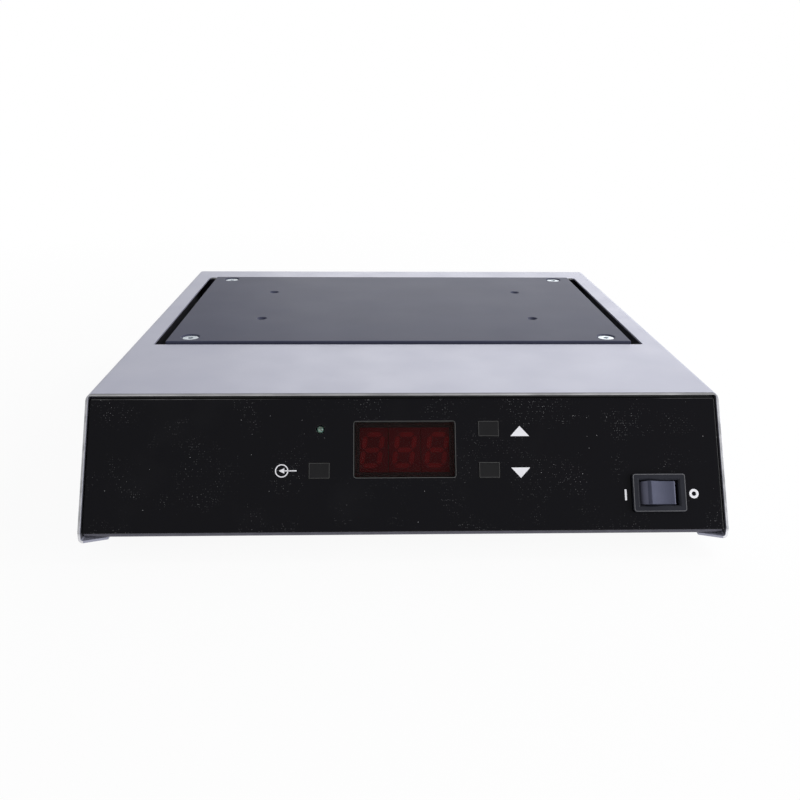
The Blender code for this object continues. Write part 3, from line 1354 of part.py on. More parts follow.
def make_inlet():
    """The mains inlet: a flange outside the rear, a body inside it and three pins in its cavity."""
    depth = INLET_CAVITY_CORNER
    half_w = INLET_CAVITY_WIDTH / 2
    half_h = INLET_CAVITY_HEIGHT / 2
    cavity = [
        (-half_w, -half_h),
        (half_w, -half_h),
        (half_w, half_h - depth),
        (half_w - depth, half_h),
        (depth - half_w, half_h),
        (-half_w, half_h - depth),
    ]
    outside = REAR_FACE_Y + SEAT_GAP
    steps = [
        (INLET_BODY_WIDTH, INLET_BODY_HEIGHT, 0),
        (INLET_FLANGE_WIDTH, INLET_FLANGE_HEIGHT, INLET_FLANGE_THICKNESS),
    ]
    mesh = stepped_block((INLET_BODY_WIDTH, INLET_BODY_HEIGHT), -INLET_BODY_DEPTH, steps)
    inlet = piece("mains_inlet", mesh, "plastic_black")
    place(inlet, (INLET_X, outside, INLET_Z), FACING_REAR)
    cavity_depth = INLET_BODY_DEPTH + INLET_FLANGE_THICKNESS - INLET_BACK_WALL
    hollow = cutter(outline_mesh(cavity, cavity_depth + CUT_OVER))
    middle = INLET_FLANGE_THICKNESS - cavity_depth / 2 + CUT_OVER / 2
    place(hollow, (0, 0, middle), parent=inlet)
    tools = [hollow]
    pins = {
        "live": (-PIN_PITCH / 2, -PIN_OFFSET_Z),
        "neutral": (PIN_PITCH / 2, -PIN_OFFSET_Z),
        "earth": (0, PIN_OFFSET_Z),
    }
    pin_middle = INLET_FLANGE_THICKNESS - PIN_MOUTH_GAP - PIN_LENGTH / 2
    through = INLET_BACK_WALL + 2 * CUT_OVER
    wall_middle = INLET_BACK_WALL / 2 - INLET_BODY_DEPTH
    for name, (x, z) in pins.items():
        passage = block((PIN_THICKNESS + 2 * SEAT_GAP, PIN_WIDTH + 2 * SEAT_GAP, through))
        tools.append(place(cutter(passage), (x, z, wall_middle), parent=inlet))
        mesh = block((PIN_THICKNESS, PIN_WIDTH, PIN_LENGTH), PIN_EDGE, 1)
        pin = piece(f"inlet_pin_{name}", mesh, "brass")
        place(pin, (x, z, pin_middle), parent=inlet)
    cut(inlet, tools)
    return inlet


def make_jacks():
    """Two small round sockets with their nuts: one for a remote control, one for bonding."""
    outside = REAR_FACE_Y + SEAT_GAP
    bottom = JACK_BACK_WALL - JACK_BODY_DEPTH
    points = [
        (0, bottom),
        (JACK_BORE_RADIUS, bottom),
        (JACK_BORE_RADIUS, JACK_NUT_HEIGHT),
        (JACK_NUT_RADIUS - JACK_NUT_EDGE, JACK_NUT_HEIGHT),
        (JACK_NUT_RADIUS, JACK_NUT_HEIGHT - JACK_NUT_EDGE),
        (JACK_NUT_RADIUS, 0),
        (JACK_BODY_RADIUS, 0),
        (JACK_BODY_RADIUS, -JACK_BODY_DEPTH),
        (0, -JACK_BODY_DEPTH),
    ]
    sockets = (("remote_socket", "zinc", JACK_X), ("bonding_socket", "brass", JACK_X - JACK_PITCH))
    for name, material, x in sockets:
        place(piece(name, turned(points), material), (x, outside, INLET_Z), FACING_REAR)


# Wiring

def wire(name, material, points):
    return piece(name, tube_curve(filleted(points, WIRE_BEND, 3), WIRE_RADIUS), material)


def beside_board(side):
    """Where a wire climbs, just outside the power board's right or left edge."""
    return POWER_BOARD_X + side * (POWER_BOARD_WIDTH / 2 + WIRE_LANE_PITCH)


def board_pad(side, row):
    """The way of a wire onto the power board, near its right or left edge, rows counting rearward.

    It climbs beside the board, turns in over it and drops to its pad.
    """
    pad_x = POWER_BOARD_X + side * (POWER_BOARD_WIDTH / 2 - WIRE_PAD_INSET)
    y = POWER_BOARD_Y + row * WIRE_PAD_PITCH
    over = POWER_BOARD_TOP + WIRE_LEAD
    return [
        Vector((beside_board(side), y, WIRE_FLOOR)),
        Vector((beside_board(side), y, over)),
        Vector((pad_x, y, over)),
        Vector((pad_x, y, POWER_BOARD_TOP + SEAT_GAP)),
    ]


def from_pin(across):
    """The way of a wire straight out of the rear of one of the inlet's pins."""
    y = REAR_FACE_Y + INLET_FLANGE_THICKNESS - PIN_MOUTH_GAP - PIN_LENGTH
    end = Vector((INLET_X - across, y, INLET_Z - PIN_OFFSET_Z))
    return [end, end - Vector((0, WIRE_LEAD, 0))]


def from_tab(frame, side):
    """The way of a wire straight out of one of the switch's tabs and down to the base."""
    depth = FASCIA_RECESS + SWITCH_BODY_DEPTH + SWITCH_TAB_LENGTH + SEAT_GAP
    end = on_front(frame, SWITCH_ACROSS + side * SWITCH_TAB_PITCH / 2, SWITCH_DOWN, depth)
    drop = end.z - WIRE_FLOOR
    return [end, Vector((end.x, end.y + drop / math.tan(FRONT_SLANT), WIRE_FLOOR))]


def from_tail(row_y):
    """The way of a wire straight down from one of the element's tails."""
    x = ELEMENT_END_MARGIN - PLATE_WIDTH / 2
    return [Vector((x, row_y, ELEMENT_Z - ELEMENT_TAIL - SEAT_GAP)), Vector((x, row_y, WIRE_FLOOR))]


def along_side(x, *rows):
    return [Vector((x, y, WIRE_FLOOR)) for y in rows]


def make_leads(frame):
    """The leads of the mains and of the heater, along the base beside the cover's sides."""
    inner = HALF_WIDTH - WIRE_LANE
    outer = inner + WIRE_LANE_PITCH
    before_shield = SHIELD_Y - SHIELD_FOOT - WIRE_SHIELD_GAP
    rows = element_rows()
    behind = HEATER_Y + WIRE_INLET_RUN
    live_tab = from_tab(frame, 1)
    switched_tab = from_tab(frame, -1)
    switched = switched_tab + along_side(beside_board(1), switched_tab[-1].y) + board_pad(1, -1)
    live = from_pin(-PIN_PITCH / 2) + along_side(outer, behind, POWER_BOARD_Y) + live_tab[::-1]
    neutral = from_pin(PIN_PITCH / 2) + along_side(inner, behind, before_shield) + board_pad(1, 1)
    wire("live_wire", "wire_brown", live)
    wire("neutral_wire", "wire_blue", neutral)
    wire("switched_live_wire", "wire_brown", switched)
    for end, row_y, lane, pad in (("front", rows[0], inner, 1), ("rear", rows[-1], outer, -1)):
        way = along_side(-lane, row_y - WIRE_TAIL_RUN, before_shield)
        wire(f"heater_lead_{end}", "wire_white", from_tail(row_y) + way + board_pad(-1, pad))


def make_ribbon(frame):
    """The flat cable from the control board down to the power board."""
    depth = CONTROL_BOARD_DEPTH + BOARD_THICKNESS + SEAT_GAP
    start = on_front(frame, 0, RIBBON_DOWN, depth)
    start_lead = on_front(frame, 0, RIBBON_DOWN, depth + RIBBON_LEAD)
    end_y = POWER_BOARD_Y - POWER_BOARD_LENGTH / 2 + RIBBON_INSET
    end = Vector((0, end_y, POWER_BOARD_TOP + SEAT_GAP))
    end_lead = end + Vector((0, 0, RIBBON_LEAD))
    path = smooth_path([start, start_lead, end_lead, end], RIBBON_STEPS)
    ribbon = piece("ribbon_cable", folded_sheet(path, (1, 0, 0), RIBBON_WIDTH), "ribbon_grey")
    thicken(ribbon, RIBBON_THICKNESS, 0)


def main():
    clear_scene()
    root = bpy.context.scene.collection
    add_collection("pcb_preheater", root)
    add_collection("cutters", root)
    for name, look in MATERIALS.items():
        make_material(name, *look)
    frame = front_frame()
    make_cover()
    make_chassis(frame)
    make_feet()
    make_cover_screws()
    make_heater_plate()
    make_plate_fixings()
    make_heating_element()
    make_element_clamps()
    make_insulation()
    make_reflector_tray()
    make_sensors()
    make_heat_shield()
    make_fascia(frame)
    make_window(frame)
    make_digits(frame)
    make_keys(frame)
    make_lamp(frame)
    spot = front_spot(0, CONTROL_BOARD_DOWN, CONTROL_BOARD_DEPTH + BOARD_THICKNESS / 2)
    make_board("control_board", CONTROL_BOARD_WIDTH, CONTROL_BOARD_HEIGHT, spot, frame)
    make_switch_body(frame)
    make_rocker(frame)
    make_power_parts()
    make_inlet()
    make_jacks()
    make_leads(frame)
    make_ribbon(frame)


main()
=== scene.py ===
"""Finished look of a benchtop preheater for circuit boards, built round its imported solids.

Metres, +Z up, +X to the right as seen from the front, and the front faces -Y. Pieces of the
slanted front are modelled flat, X across it, Y up its slope and Z out of it, and are then laid
on the slant.
"""

import json
import math

import bmesh
import bpy
from bpy.props import FloatProperty, FloatVectorProperty, IntProperty, PointerProperty
from mathutils import Matrix, Vector

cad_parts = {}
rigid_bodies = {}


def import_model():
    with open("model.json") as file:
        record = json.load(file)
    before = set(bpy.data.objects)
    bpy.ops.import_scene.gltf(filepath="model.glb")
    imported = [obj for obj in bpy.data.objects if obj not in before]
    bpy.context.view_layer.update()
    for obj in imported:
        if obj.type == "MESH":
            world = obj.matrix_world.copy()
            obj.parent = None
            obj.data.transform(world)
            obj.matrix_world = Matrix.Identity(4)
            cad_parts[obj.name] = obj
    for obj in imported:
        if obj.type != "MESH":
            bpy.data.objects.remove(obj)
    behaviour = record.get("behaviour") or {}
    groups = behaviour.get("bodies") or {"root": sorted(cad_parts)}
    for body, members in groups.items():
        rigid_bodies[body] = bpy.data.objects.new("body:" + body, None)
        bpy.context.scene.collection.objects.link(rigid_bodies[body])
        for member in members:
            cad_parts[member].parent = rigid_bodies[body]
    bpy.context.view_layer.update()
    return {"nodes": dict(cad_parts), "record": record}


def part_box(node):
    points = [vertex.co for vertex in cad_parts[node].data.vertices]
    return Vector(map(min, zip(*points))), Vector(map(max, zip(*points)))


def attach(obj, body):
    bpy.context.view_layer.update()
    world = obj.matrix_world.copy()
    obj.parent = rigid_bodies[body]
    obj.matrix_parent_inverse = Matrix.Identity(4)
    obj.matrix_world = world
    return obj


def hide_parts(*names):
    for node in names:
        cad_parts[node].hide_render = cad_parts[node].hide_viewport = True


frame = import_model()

bl_info = {
    "name": "Board Preheater",
    "version": (1, 0, 0),
    "blender": (4, 5, 0),
    "location": "3D View > Sidebar > Preheater",
    "description": "Builds the pieces, finishes and studio of a benchtop board preheater",
    "category": "Add Mesh",
}

COVER_LOW, COVER_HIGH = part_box("cover")
PLATE_LOW, PLATE_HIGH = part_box("heater_plate")
SIDES = {"left": -1, "right": 1}
ENDS = {"front": -1, "rear": 1}
CORNERS = [(end, side) for end in ENDS for side in SIDES]
DIGITS = (1, 2, 3)

# Places nearer than this are the same, and so are directions with this cosine
SAME_PLACE = 0.00001
SAME_WAY = 0.98

# Specular level of matt plastic
MATT = 0.05

# Rounding of the edges of small pieces
FINE_EDGE = 0.00010
SMALL_EDGE = 0.00012
LENS_EDGE = 0.00015
ROCKER_EDGE = 0.00016
PILLAR_EDGE = 0.00020
BEZEL_EDGE = 0.00022
SOFT_EDGE = 0.00030

# Each lamp's place, the point that it is aimed at, and its width
LAMPS = {
    "key": ((0.75, 0.30, 0.65), (0, 0, 0.03), 0.6),
    "back": ((0.27, 1.30, 0.55), (0, 0, 0.05), 1.2),
    "fill": ((0.95, -0.55, 0.28), (0, -0.1, 0.03), 0.6),
}

# The names of the finished materials, which the first operator fills in
FINISH_NAMES = {}


def length(name, description, default):
    return FloatProperty(name=name, description=description, default=default, unit="LENGTH", precision=5)


def angle(name, description, default):
    return FloatProperty(name=name, description=description, default=default, subtype="ANGLE")


def power(name, description, default):
    return FloatProperty(name=name, description=description, default=default, subtype="POWER")


def share(name, description, default):
    return FloatProperty(
        name=name, description=description, default=default, min=0.0, max=1.0, subtype="FACTOR"
    )


def colour(name, description, default):
    return FloatVectorProperty(
        name=name, description=description, default=default, size=3, min=0.0, max=1.0, subtype="COLOR"
    )


def spot(name, description, default):
    """A place or a size, with two numbers on the slanted front and three in the room."""
    return FloatVectorProperty(
        name=name, description=description, default=default, size=len(default),
        subtype="XYZ", unit="LENGTH",
    )


# Settings

class HousingSettings(bpy.types.PropertyGroup):
    """The folded cover, the chassis and the feet."""

    slant: angle("Front slant", "Lean of the front back from upright", math.radians(31.0))
    corner_trim: length("Corner trim", "How far the lower front corners are cut back", 0.0027)
    cut_edge: length("Cut edge", "Rounding of the sheets' cut edges", 0.00012)
    sheet: length("Sheet", "Thickness of the cover's sheet", 0.0010)
    cad_bend: length("Solid's bend", "Outer radius of the solid's bends", 0.0017)
    bend: length("Bend", "Outer radius of the cover's bends, whose inside stays as it is", 0.0026)
    seal_middle: spot("Rear seal", "Middle of the seal at the right rear", (0.1246, 0.1257, 0.0315))
    seal_size: spot("Seal size", "Width, depth and height of a rear seal", (0.0007, 0.0016, 0.0470))
    cover_colour: colour("Cover", "Satin coating of the cover", (0.355, 0.362, 0.450))
    cover_roughness: share("Cover roughness", "How satin the cover is", 0.42)
    edge_colour: colour("Cover edge", "Thinly coated cut edge of the cover", (0.36, 0.36, 0.37))
    # The zinc's tone is darkened as painted shade for the strip of chassis under the front plate.
    chassis_shaded_colour: colour("Chassis", "Zinc-plated sheet of the chassis", (0.100, 0.098, 0.125))
    rubber_colour: colour("Feet", "Rubber of the feet and seals", (0.02, 0.02, 0.021))
    # Painted shade: a dark tone on the cover's inner side faces, so the gaps look unlit.
    inner_shade_colour: colour("Lining", "Inner faces of the cover's sides", (0.10, 0.10, 0.115))


class FrontSettings(bpy.types.PropertyGroup):
    """The black front plate, its marks, the display, the keys, the lamp and the switch."""

    recess: length("Face recess", "How far the front plate lies behind the cover's edge", 0.0003)
    ink: length("Ink height", "How far printed marks stand out", 0.00004)
    line: length("Thin line", "Width of the thin lines round the window and the keys", 0.00014)
    window_middle: spot("Window", "Middle of the display's window", (-0.0006, 0.0226))
    window_size: spot("Window size", "Width and height of the window", (0.0400, 0.0223))
    window_corner: length("Window corner", "Radius of the window's corners", 0.0009)
    digit_pitch: length("Digit pitch", "Distance from digit to digit", 0.0128)
    digit_depth: length("Digit depth", "Depth of the digits' faces behind the cover's edge", 0.0024)
    segment_height: length("Digit height", "Height of a lit figure", 0.0142)
    segment_span: length("Digit width", "Width of a lit figure", 0.0086)
    segment_bar: length("Segment width", "Width of one bar of a figure", 0.0017)
    segment_gap: length("Segment gap", "Half of the gap between two bars", 0.00005)
    segment_blur: length("Segment blur", "Faint rim round the bars of a figure", 0.0004)
    mask_opening: length("Mask opening", "Width of the window's clear part", 0.0355)
    mask_depth: length("Mask depth", "Depth of the black mask behind the cover's edge", 0.00195)
    segment_lean: angle("Digit lean", "Lean of the figures to the right", math.radians(8.0))
    key_size: spot("Key size", "Width and height of a key's face", (0.0080, 0.0060))
    key_right: length("Right keys", "Place of the two right-hand keys across the front", 0.0327)
    key_left: length("Left key", "Place of the left-hand key across the front", -0.0341)
    key_upper: length("Upper key", "Place of the upper key down the slope", 0.0145)
    key_lower: length("Lower keys", "Place of the lower keys down the slope", 0.0309)
    key_recess: length("Key recess", "How far a key's face lies behind the cover's edge", 0.0001)
    arrow_size: spot("Arrow size", "Width and height of the up and down marks", (0.0075, 0.0041))
    arrow_across: length("Arrows", "Place of the up and down marks across the front", 0.04505)
    arrow_upper: length("Up mark", "Place of the up mark down the slope", 0.0155)
    arrow_lower: length("Down mark", "Place of the down mark down the slope", 0.03207)
    circle_middle: spot("Enter mark", "Middle of the circle of the enter mark", (-0.0487, 0.03087))
    circle_radius: length("Enter circle", "Outer radius of that circle", 0.0026)
    head_size: spot("Enter arrow", "Length and half height of the arrow's head", (0.0022, 0.00105))
    tail_end: length("Enter tail", "Right end of the arrow's tail across the front", -0.0429)
    stroke: length("Mark stroke", "Width of the strokes of the printed marks", 0.00042)
    on_mark: spot("On mark", "Middle of the I beside the switch", (0.08615, 0.0410))
    on_size: spot("On size", "Width and height of the I", (0.00080, 0.0043))
    off_mark: spot("Off mark", "Middle of the O beside the switch", (0.11325, 0.0407))
    off_radii: spot("Off size", "Outer and inner radius of the O", (0.00185, 0.00088))
    strip_length: length("Strip length", "Length of the dark margin and the lip along the top", 0.2474)
    margin: spot("Margin", "Place down the slope and width of the dark margin", (0.00205, 0.0006))
    lip: spot("Lip", "Place down the slope and width of the glinting lip", (0.00245, 0.0002))
    switch_middle: spot("Switch", "Middle of the rocker switch", (0.0992, 0.0403))
    switch_size: spot("Switch size", "Width and height of the switch's bezel", (0.0210, 0.0150))
    bezel_top: length("Bezel top", "How far the bezel stands out of the cover's edge", 0.0012)
    bezel_corner: length("Bezel corner", "Radius of the bezel's outer corners", 0.0011)
    bezel_chamfer: length("Bezel chamfer", "Chamfer round the rocker's opening", 0.0006)
    # Painted shade: a black strip that stands in for the shade under the cover's front edge.
    top_shade_strip: spot("Top seal", "Place down the slope and depth of the upper seal", (0.0012, 0.0013))
    top_shade_strip_size: spot("Top seal size", "Length, width and height of that seal", (0.2450, 0.0009, 0.0007))
    plate_colour: colour("Front plate", "Gloss black of the front plate", (0.0046, 0.0045, 0.0062))
    speck_share: share("Specks", "How much dust lies on the front plate", 0.4)
    # Painted shade: a dark strip along the plate's top for the shade in the gap under the cover's edge.
    margin_shade_colour: colour("Margin", "Dark margin along the plate's top", (0.0022, 0.0022, 0.0026))
    glint_colour: colour("Glint", "Light that the plate's lip catches", (0.12, 0.12, 0.12))
    ink_colour: colour("Ink", "Printed marks", (0.84, 0.84, 0.88))
    # Round the keys these lines are a painted highlight of the keys' edges.
    line_colour: colour("Thin lines", "Lines round the window and the keys", (0.15, 0.15, 0.15))
    filter_colour: colour("Window filter", "Red of the display's filter", (0.0120, 0.0034, 0.0034))
    mask_colour: colour("Window mask", "Mask round the window's clear part", (0.050, 0.060, 0.060))
    digit_colour: colour("Digit faces", "Faces behind the figures", (0.33, 0.030, 0.035))
    segment_colour: colour("Unlit segments", "Figures with the display off", (0.70, 0.040, 0.045))
    segment_rim_colour: colour("Segment rims", "Faint rim of the figures", (0.52, 0.035, 0.040))
    key_colour: colour("Keys", "Plastic of the key caps", (0.0155, 0.0155, 0.0165))
    bezel_colour: colour("Switch bezel", "Plastic of the switch's bezel", (0.020, 0.021, 0.028))
    # Painted highlight: the rim's light tone stands in for light caught by the bezel's edge.
    bezel_glint_colour: colour("Bezel rim", "Thin rim round the bezel", (0.12, 0.12, 0.13))
    rocker_colour: colour("Rocker", "Plastic of the rocker", (0.080, 0.085, 0.125))
    # Painted light: the rocker's end faces in a lighter copy of its plastic.
    rocker_end_light_colour: colour("Rocker ends", "End faces of the rocker", (0.150, 0.155, 0.215))
    # Partly rubbed wear, partly a painted highlight of the rocker's edges.
    rocker_worn_and_highlit_colour: colour("Worn rocker", "Rubbed edges of the rocker", (0.30, 0.31, 0.36))
    lens_colour: colour("Lamp", "Lens of the status lamp", (0.17, 0.28, 0.23))


class PlateSettings(bpy.types.PropertyGroup):
    """The heating plate, its screws and its tapped holes."""

    edge: length("Plate edge", "Rounding of the plate's edges", 0.00015)
    coating: colour("Plate coating", "Dark coating of the plate", (0.050, 0.054, 0.088))
    coating_roughness: share("Coating roughness", "How satin the coating is", 0.40)
    hole_pitch: spot("Tapped holes", "Spacing of the tapped holes across and along", (0.141, 0.059))
    bore: length("Thread bore", "Radius of the tapped holes before their thread", 0.0021)
    thread_pitch: length("Thread pitch", "Rise of the thread in one turn", 0.0008)
    thread_depth: length("Thread depth", "How far the thread stands into the hole", 0.00035)
    thread_turns: IntProperty(name="Thread turns", description="Turns of thread in a hole", default=4)
    zinc: colour("Zinc", "Bright zinc plating of the screws", (0.50, 0.55, 0.60))
    # Painted shade: the pillars' zinc is darkened to stand in for the shade in the gap beside the plate.
    zinc_in_painted_shade: colour("Heated zinc", "Zinc plating of the pillars, dark from heat", (0.055, 0.052, 0.055))


class RearSettings(bpy.types.PropertyGroup):
    """The mains inlet and the two small sockets."""

    nut_radius: length("Nut radius", "From a nut's middle to its corners", 0.0045)
    nut_height: length("Nut height", "Height of a socket's nut", 0.0016)
    bush_radius: length("Bush radius", "Outer radius of a socket's threaded bush", 0.0028)
    bush_stand: length("Bush stand", "How far a bush stands out of the sheet", 0.0020)
    bush_depth: length("Bush depth", "How far a bush reaches into the housing", 0.0120)
    bore_radius: length("Bore radius", "Radius of a socket's bore", 0.0018)
    moulding: colour("Inlet", "Moulding of the mains inlet", (0.016, 0.016, 0.017))
    brass: colour("Brass", "Plated brass of pins and clips", (0.60, 0.43, 0.17))


class InsideSettings(bpy.types.PropertyGroup):
    """Heater, boards and wiring inside the housing."""

    board: colour("Circuit board", "Solder mask of the boards", (0.012, 0.14, 0.055))
    sheath: colour("Element", "Sheath of the heating element", (0.16, 0.15, 0.145))
    fibre: colour("Insulation", "Ceramic fibre board", (0.68, 0.64, 0.56))
    aluminium: colour("Aluminium", "Tray, shield and heatsink", (0.62, 0.63, 0.65))
    glass: colour("Fuse glass", "Tube of the fuse", (0.75, 0.79, 0.80))
    brown: colour("Brown wire", "Insulation of the live wires", (0.14, 0.05, 0.022))
    blue: colour("Blue wire", "Insulation of the neutral wire", (0.02, 0.06, 0.34))
    sleeve: colour("White sleeve", "Glass-fibre sleeve of the heater's leads", (0.66, 0.66, 0.63))
    ribbon: colour("Ribbon", "Insulation of the flat cable", (0.34, 0.34, 0.36))


class StageSettings(bpy.types.PropertyGroup):
    """Floor, backdrop, lamps and camera."""

    floor_size: length("Floor size", "Width of the floor", 6.0)
    lens: FloatProperty(name="Lens", description="Focal length", default=37.84, subtype="DISTANCE_CAMERA")
    camera_place: spot("Camera", "Place of the camera", (-0.01304, -0.41655, 0.17152))
    camera_yaw: angle("Yaw", "Turn to the right", 0.0343)
    camera_pitch: angle("Pitch", "Tilt down", 0.3578)
    camera_roll: angle("Roll", "Roll of the camera", 0.0094)
    surround: share("Surround", "Strength of the room's light on the object", 0.5)
    key_power: power("Key lamp", "Power of the main lamp", 5.0)
    back_power: power("Back lamp", "Power of the rear lamp", 3.0)
    fill_power: power("Fill lamp", "Power of the fill lamp", 8.0)


# Finishes

class Nodes:
    """A node tree, with short ways to add to it."""

    def __init__(self, tree):
        self.tree = tree

    def add(self, kind, **settings):
        node = self.tree.nodes.new(kind)
        for key, value in settings.items():
            setattr(node, key, value)
        return node

    def feed(self, socket, value):
        """Links an output to a socket, or sets the socket to a plain value."""
        if isinstance(value, bpy.types.NodeSocket):
            self.tree.links.new(value, socket)
        elif isinstance(value, tuple):
            socket.default_value = (*value, 1.0)
        else:
            socket.default_value = value

    def span(self, value, low, high, new_low=0.0, new_high=1.0):
        node = self.add("ShaderNodeMapRange")
        self.feed(node.inputs["Value"], value)
        limits = {"From Min": low, "From Max": high, "To Min": new_low, "To Max": new_high}
        for name, number in limits.items():
            node.inputs[name].default_value = number
        return node.outputs["Result"]

    def reckon(self, operation, a, b):
        node = self.add("ShaderNodeMath", operation=operation)
        self.feed(node.inputs[0], a)
        self.feed(node.inputs[1], b)
        return node.outputs["Value"]

    def blend(self, factor, a, b):
        node = self.add("ShaderNodeMix", data_type="RGBA")
        self.feed(node.inputs["Factor"], factor)
        self.feed(node.inputs[6], a)
        self.feed(node.inputs[7], b)
        return node.outputs[2]


class Finish(Nodes):
    """A material in the making, with short ways to add the nodes of its pattern."""

    def __init__(self, name, tone, roughness, metallic=0.0, **sockets):
        self.material = bpy.data.materials.new(name)
        self.material.use_nodes = True
        super().__init__(self.material.node_tree)
        self.shader = self.tree.nodes["Principled BSDF"]
        self.place = self.add("ShaderNodeTexCoord").outputs["Object"]
        self.colour = self.painted = tuple(tone)
        self.roughness = roughness
        self.shader.inputs["Base Color"].default_value = (*tone, 1.0)
        self.shader.inputs["Roughness"].default_value = roughness
        self.shader.inputs["Metallic"].default_value = metallic
        for socket, value in sockets.items():
            self.shader.inputs[socket.replace("_", " ")].default_value = value
        self.material.diffuse_color = (*tone, 1.0)

    def noise(self, size, detail, stretch=None):
        """Cloudy pattern whose features are about the given size."""
        place = self.place
        if stretch:
            mapping = self.add("ShaderNodeMapping")
            self.feed(mapping.inputs["Vector"], place)
            mapping.inputs["Scale"].default_value = stretch
            place = mapping.outputs["Vector"]
        node = self.add("ShaderNodeTexNoise")
        self.feed(node.inputs["Vector"], place)
        node.inputs["Scale"].default_value = 1.0 / size
        node.inputs["Detail"].default_value = detail
        return node.outputs["Fac"]

    def cells(self, size, feature="F1"):
        node = self.add("ShaderNodeTexVoronoi", feature=feature)
        self.feed(node.inputs["Vector"], self.place)
        node.inputs["Scale"].default_value = 1.0 / size
        return node

    def along(self, axis):
        """The distance along one of the object's axes."""
        axes = self.add("ShaderNodeSeparateXYZ")
        self.feed(axes.inputs["Vector"], self.place)
        return axes.outputs[axis]

    def specks(self, size, share, inner, outer):
        """Small round dots in a share of the cells, which fade from an inner to an outer radius."""
        grains = self.cells(size)
        chosen = self.reckon("LESS_THAN", self.span(grains.outputs["Color"], 0.0, 1.0), share)
        dots = self.span(grains.outputs["Distance"], inner, outer, 1.0, 0.0)
        return self.reckon("MULTIPLY", dots, chosen)

    def shade(self, amount):
        """The finish's own colour, darker or lighter by a share."""
        return tuple(min(1.0, part * (1.0 + amount)) for part in self.colour)

    def paint(self, result):
        self.painted = result
        self.feed(self.shader.inputs["Base Color"], result)
        return self

    def between(self, factor, start, end):
        """Colour that goes from one shade of the finish's own to another."""
        return self.paint(self.blend(factor, self.shade(start), self.shade(end)))

    def over(self, factor, tone):
        """Another tone over what is painted already."""
        return self.paint(self.blend(factor, self.painted, tone))

    def clouds(self, size, spread, detail=3.0):
        """Uneven colour: the finish's own, darker and lighter in patches."""
        return self.between(self.span(self.noise(size, detail), 0.3, 0.7), -spread, spread)

    def sheen_patches(self, size, spread):
        """Uneven gloss."""
        low, high = self.roughness - spread, self.roughness + spread
        gloss = self.span(self.noise(size, 3.0), 0.3, 0.7, low, high)
        self.feed(self.shader.inputs["Roughness"], gloss)
        return self

    def worn_and_highlit_edges(self, reach, amount, tone):
        """Edges in broken stretches of another tone where the surface bends within reach: partly rubbed
        wear, partly a painted highlight.
        """
        rounding = self.add("ShaderNodeBevel", samples=6)
        rounding.inputs["Radius"].default_value = reach
        surface = self.add("ShaderNodeNewGeometry")
        likeness = self.add("ShaderNodeVectorMath", operation="DOT_PRODUCT")
        self.feed(likeness.inputs[0], rounding.outputs["Normal"])
        self.feed(likeness.inputs[1], surface.outputs["Normal"])
        bent = self.span(likeness.outputs["Value"], 0.99, 0.86)
        broken = self.span(self.noise(0.004, 3.0), 0.35, 0.65, 0.3 * amount, amount)
        return self.over(self.reckon("MULTIPLY", bent, broken), tone)

    def relief(self, height, depth, strength):
        bump = self.add("ShaderNodeBump")
        bump.inputs["Strength"].default_value = strength
        bump.inputs["Distance"].default_value = depth
        self.feed(bump.inputs["Height"], height)
        self.feed(self.shader.inputs["Normal"], bump.outputs["Normal"])
        return self

    def grain(self, size, detail, depth, strength):
        """Fine cloudy relief."""
        return self.relief(self.noise(size, detail), depth, strength)


def satin_coat(name, tone, roughness):
    """Fine-grained satin coating of the cover."""
    finish = Finish(name, tone, roughness, 0.15, Coat_Weight=0.12, Coat_Roughness=0.30)
    # The cover's lighter edges are partly wear and partly a painted highlight.
    finish.clouds(0.06, 0.03).sheen_patches(0.02, 0.05).worn_and_highlit_edges(0.0003, 0.7, finish.shade(0.6))
    return finish.grain(0.0005, 2.0, 0.000012, 0.5)


def cut_edge(name, tone):
    """Cut edge of the cover: streaky, darker along its top, and lighter at its foot as a painted reflection
    of the floor.
    """
    rolled, below_roll = COVER_HIGH.z - 0.0004, COVER_HIGH.z - 0.0005
    foot_reflection_full, foot_reflection_start = COVER_LOW.z + 0.0030, COVER_LOW.z + 0.0045
    finish = Finish(name, tone, 0.5, 0.2)
    height = finish.along("Z")
    finish.between(finish.span(finish.noise(0.02, 4.0, (1.0, 4.0, 4.0)), 0.35, 0.65), -0.35, 0.35)
    finish.over(finish.span(height, below_roll, rolled, 0.0, 0.7), (0.16, 0.16, 0.165))
    # Lighter towards the foot: a painted reflection of the white floor.
    finish.over(finish.span(height, foot_reflection_start, foot_reflection_full), (0.80, 0.80, 0.82))
    return finish.sheen_patches(0.01, 0.08).grain(0.0005, 2.0, 0.000012, 0.5)


def zinc_sheet(name, tone):
    """Dull zinc-plated sheet with faint crystals and a rolled grain."""
    finish = Finish(name, tone, 0.44, 0.5)
    crystals = finish.span(finish.cells(0.006).outputs["Color"], 0.0, 1.0)
    rolled = finish.noise(0.0012, 3.0, (1.0, 0.04, 1.0))
    finish.between(crystals, -0.12, 0.10).over(finish.span(rolled, 0.3, 0.7, 0.0, 0.35), finish.shade(-0.22))
    return finish.sheen_patches(0.008, 0.08).relief(rolled, 0.000010, 0.5)


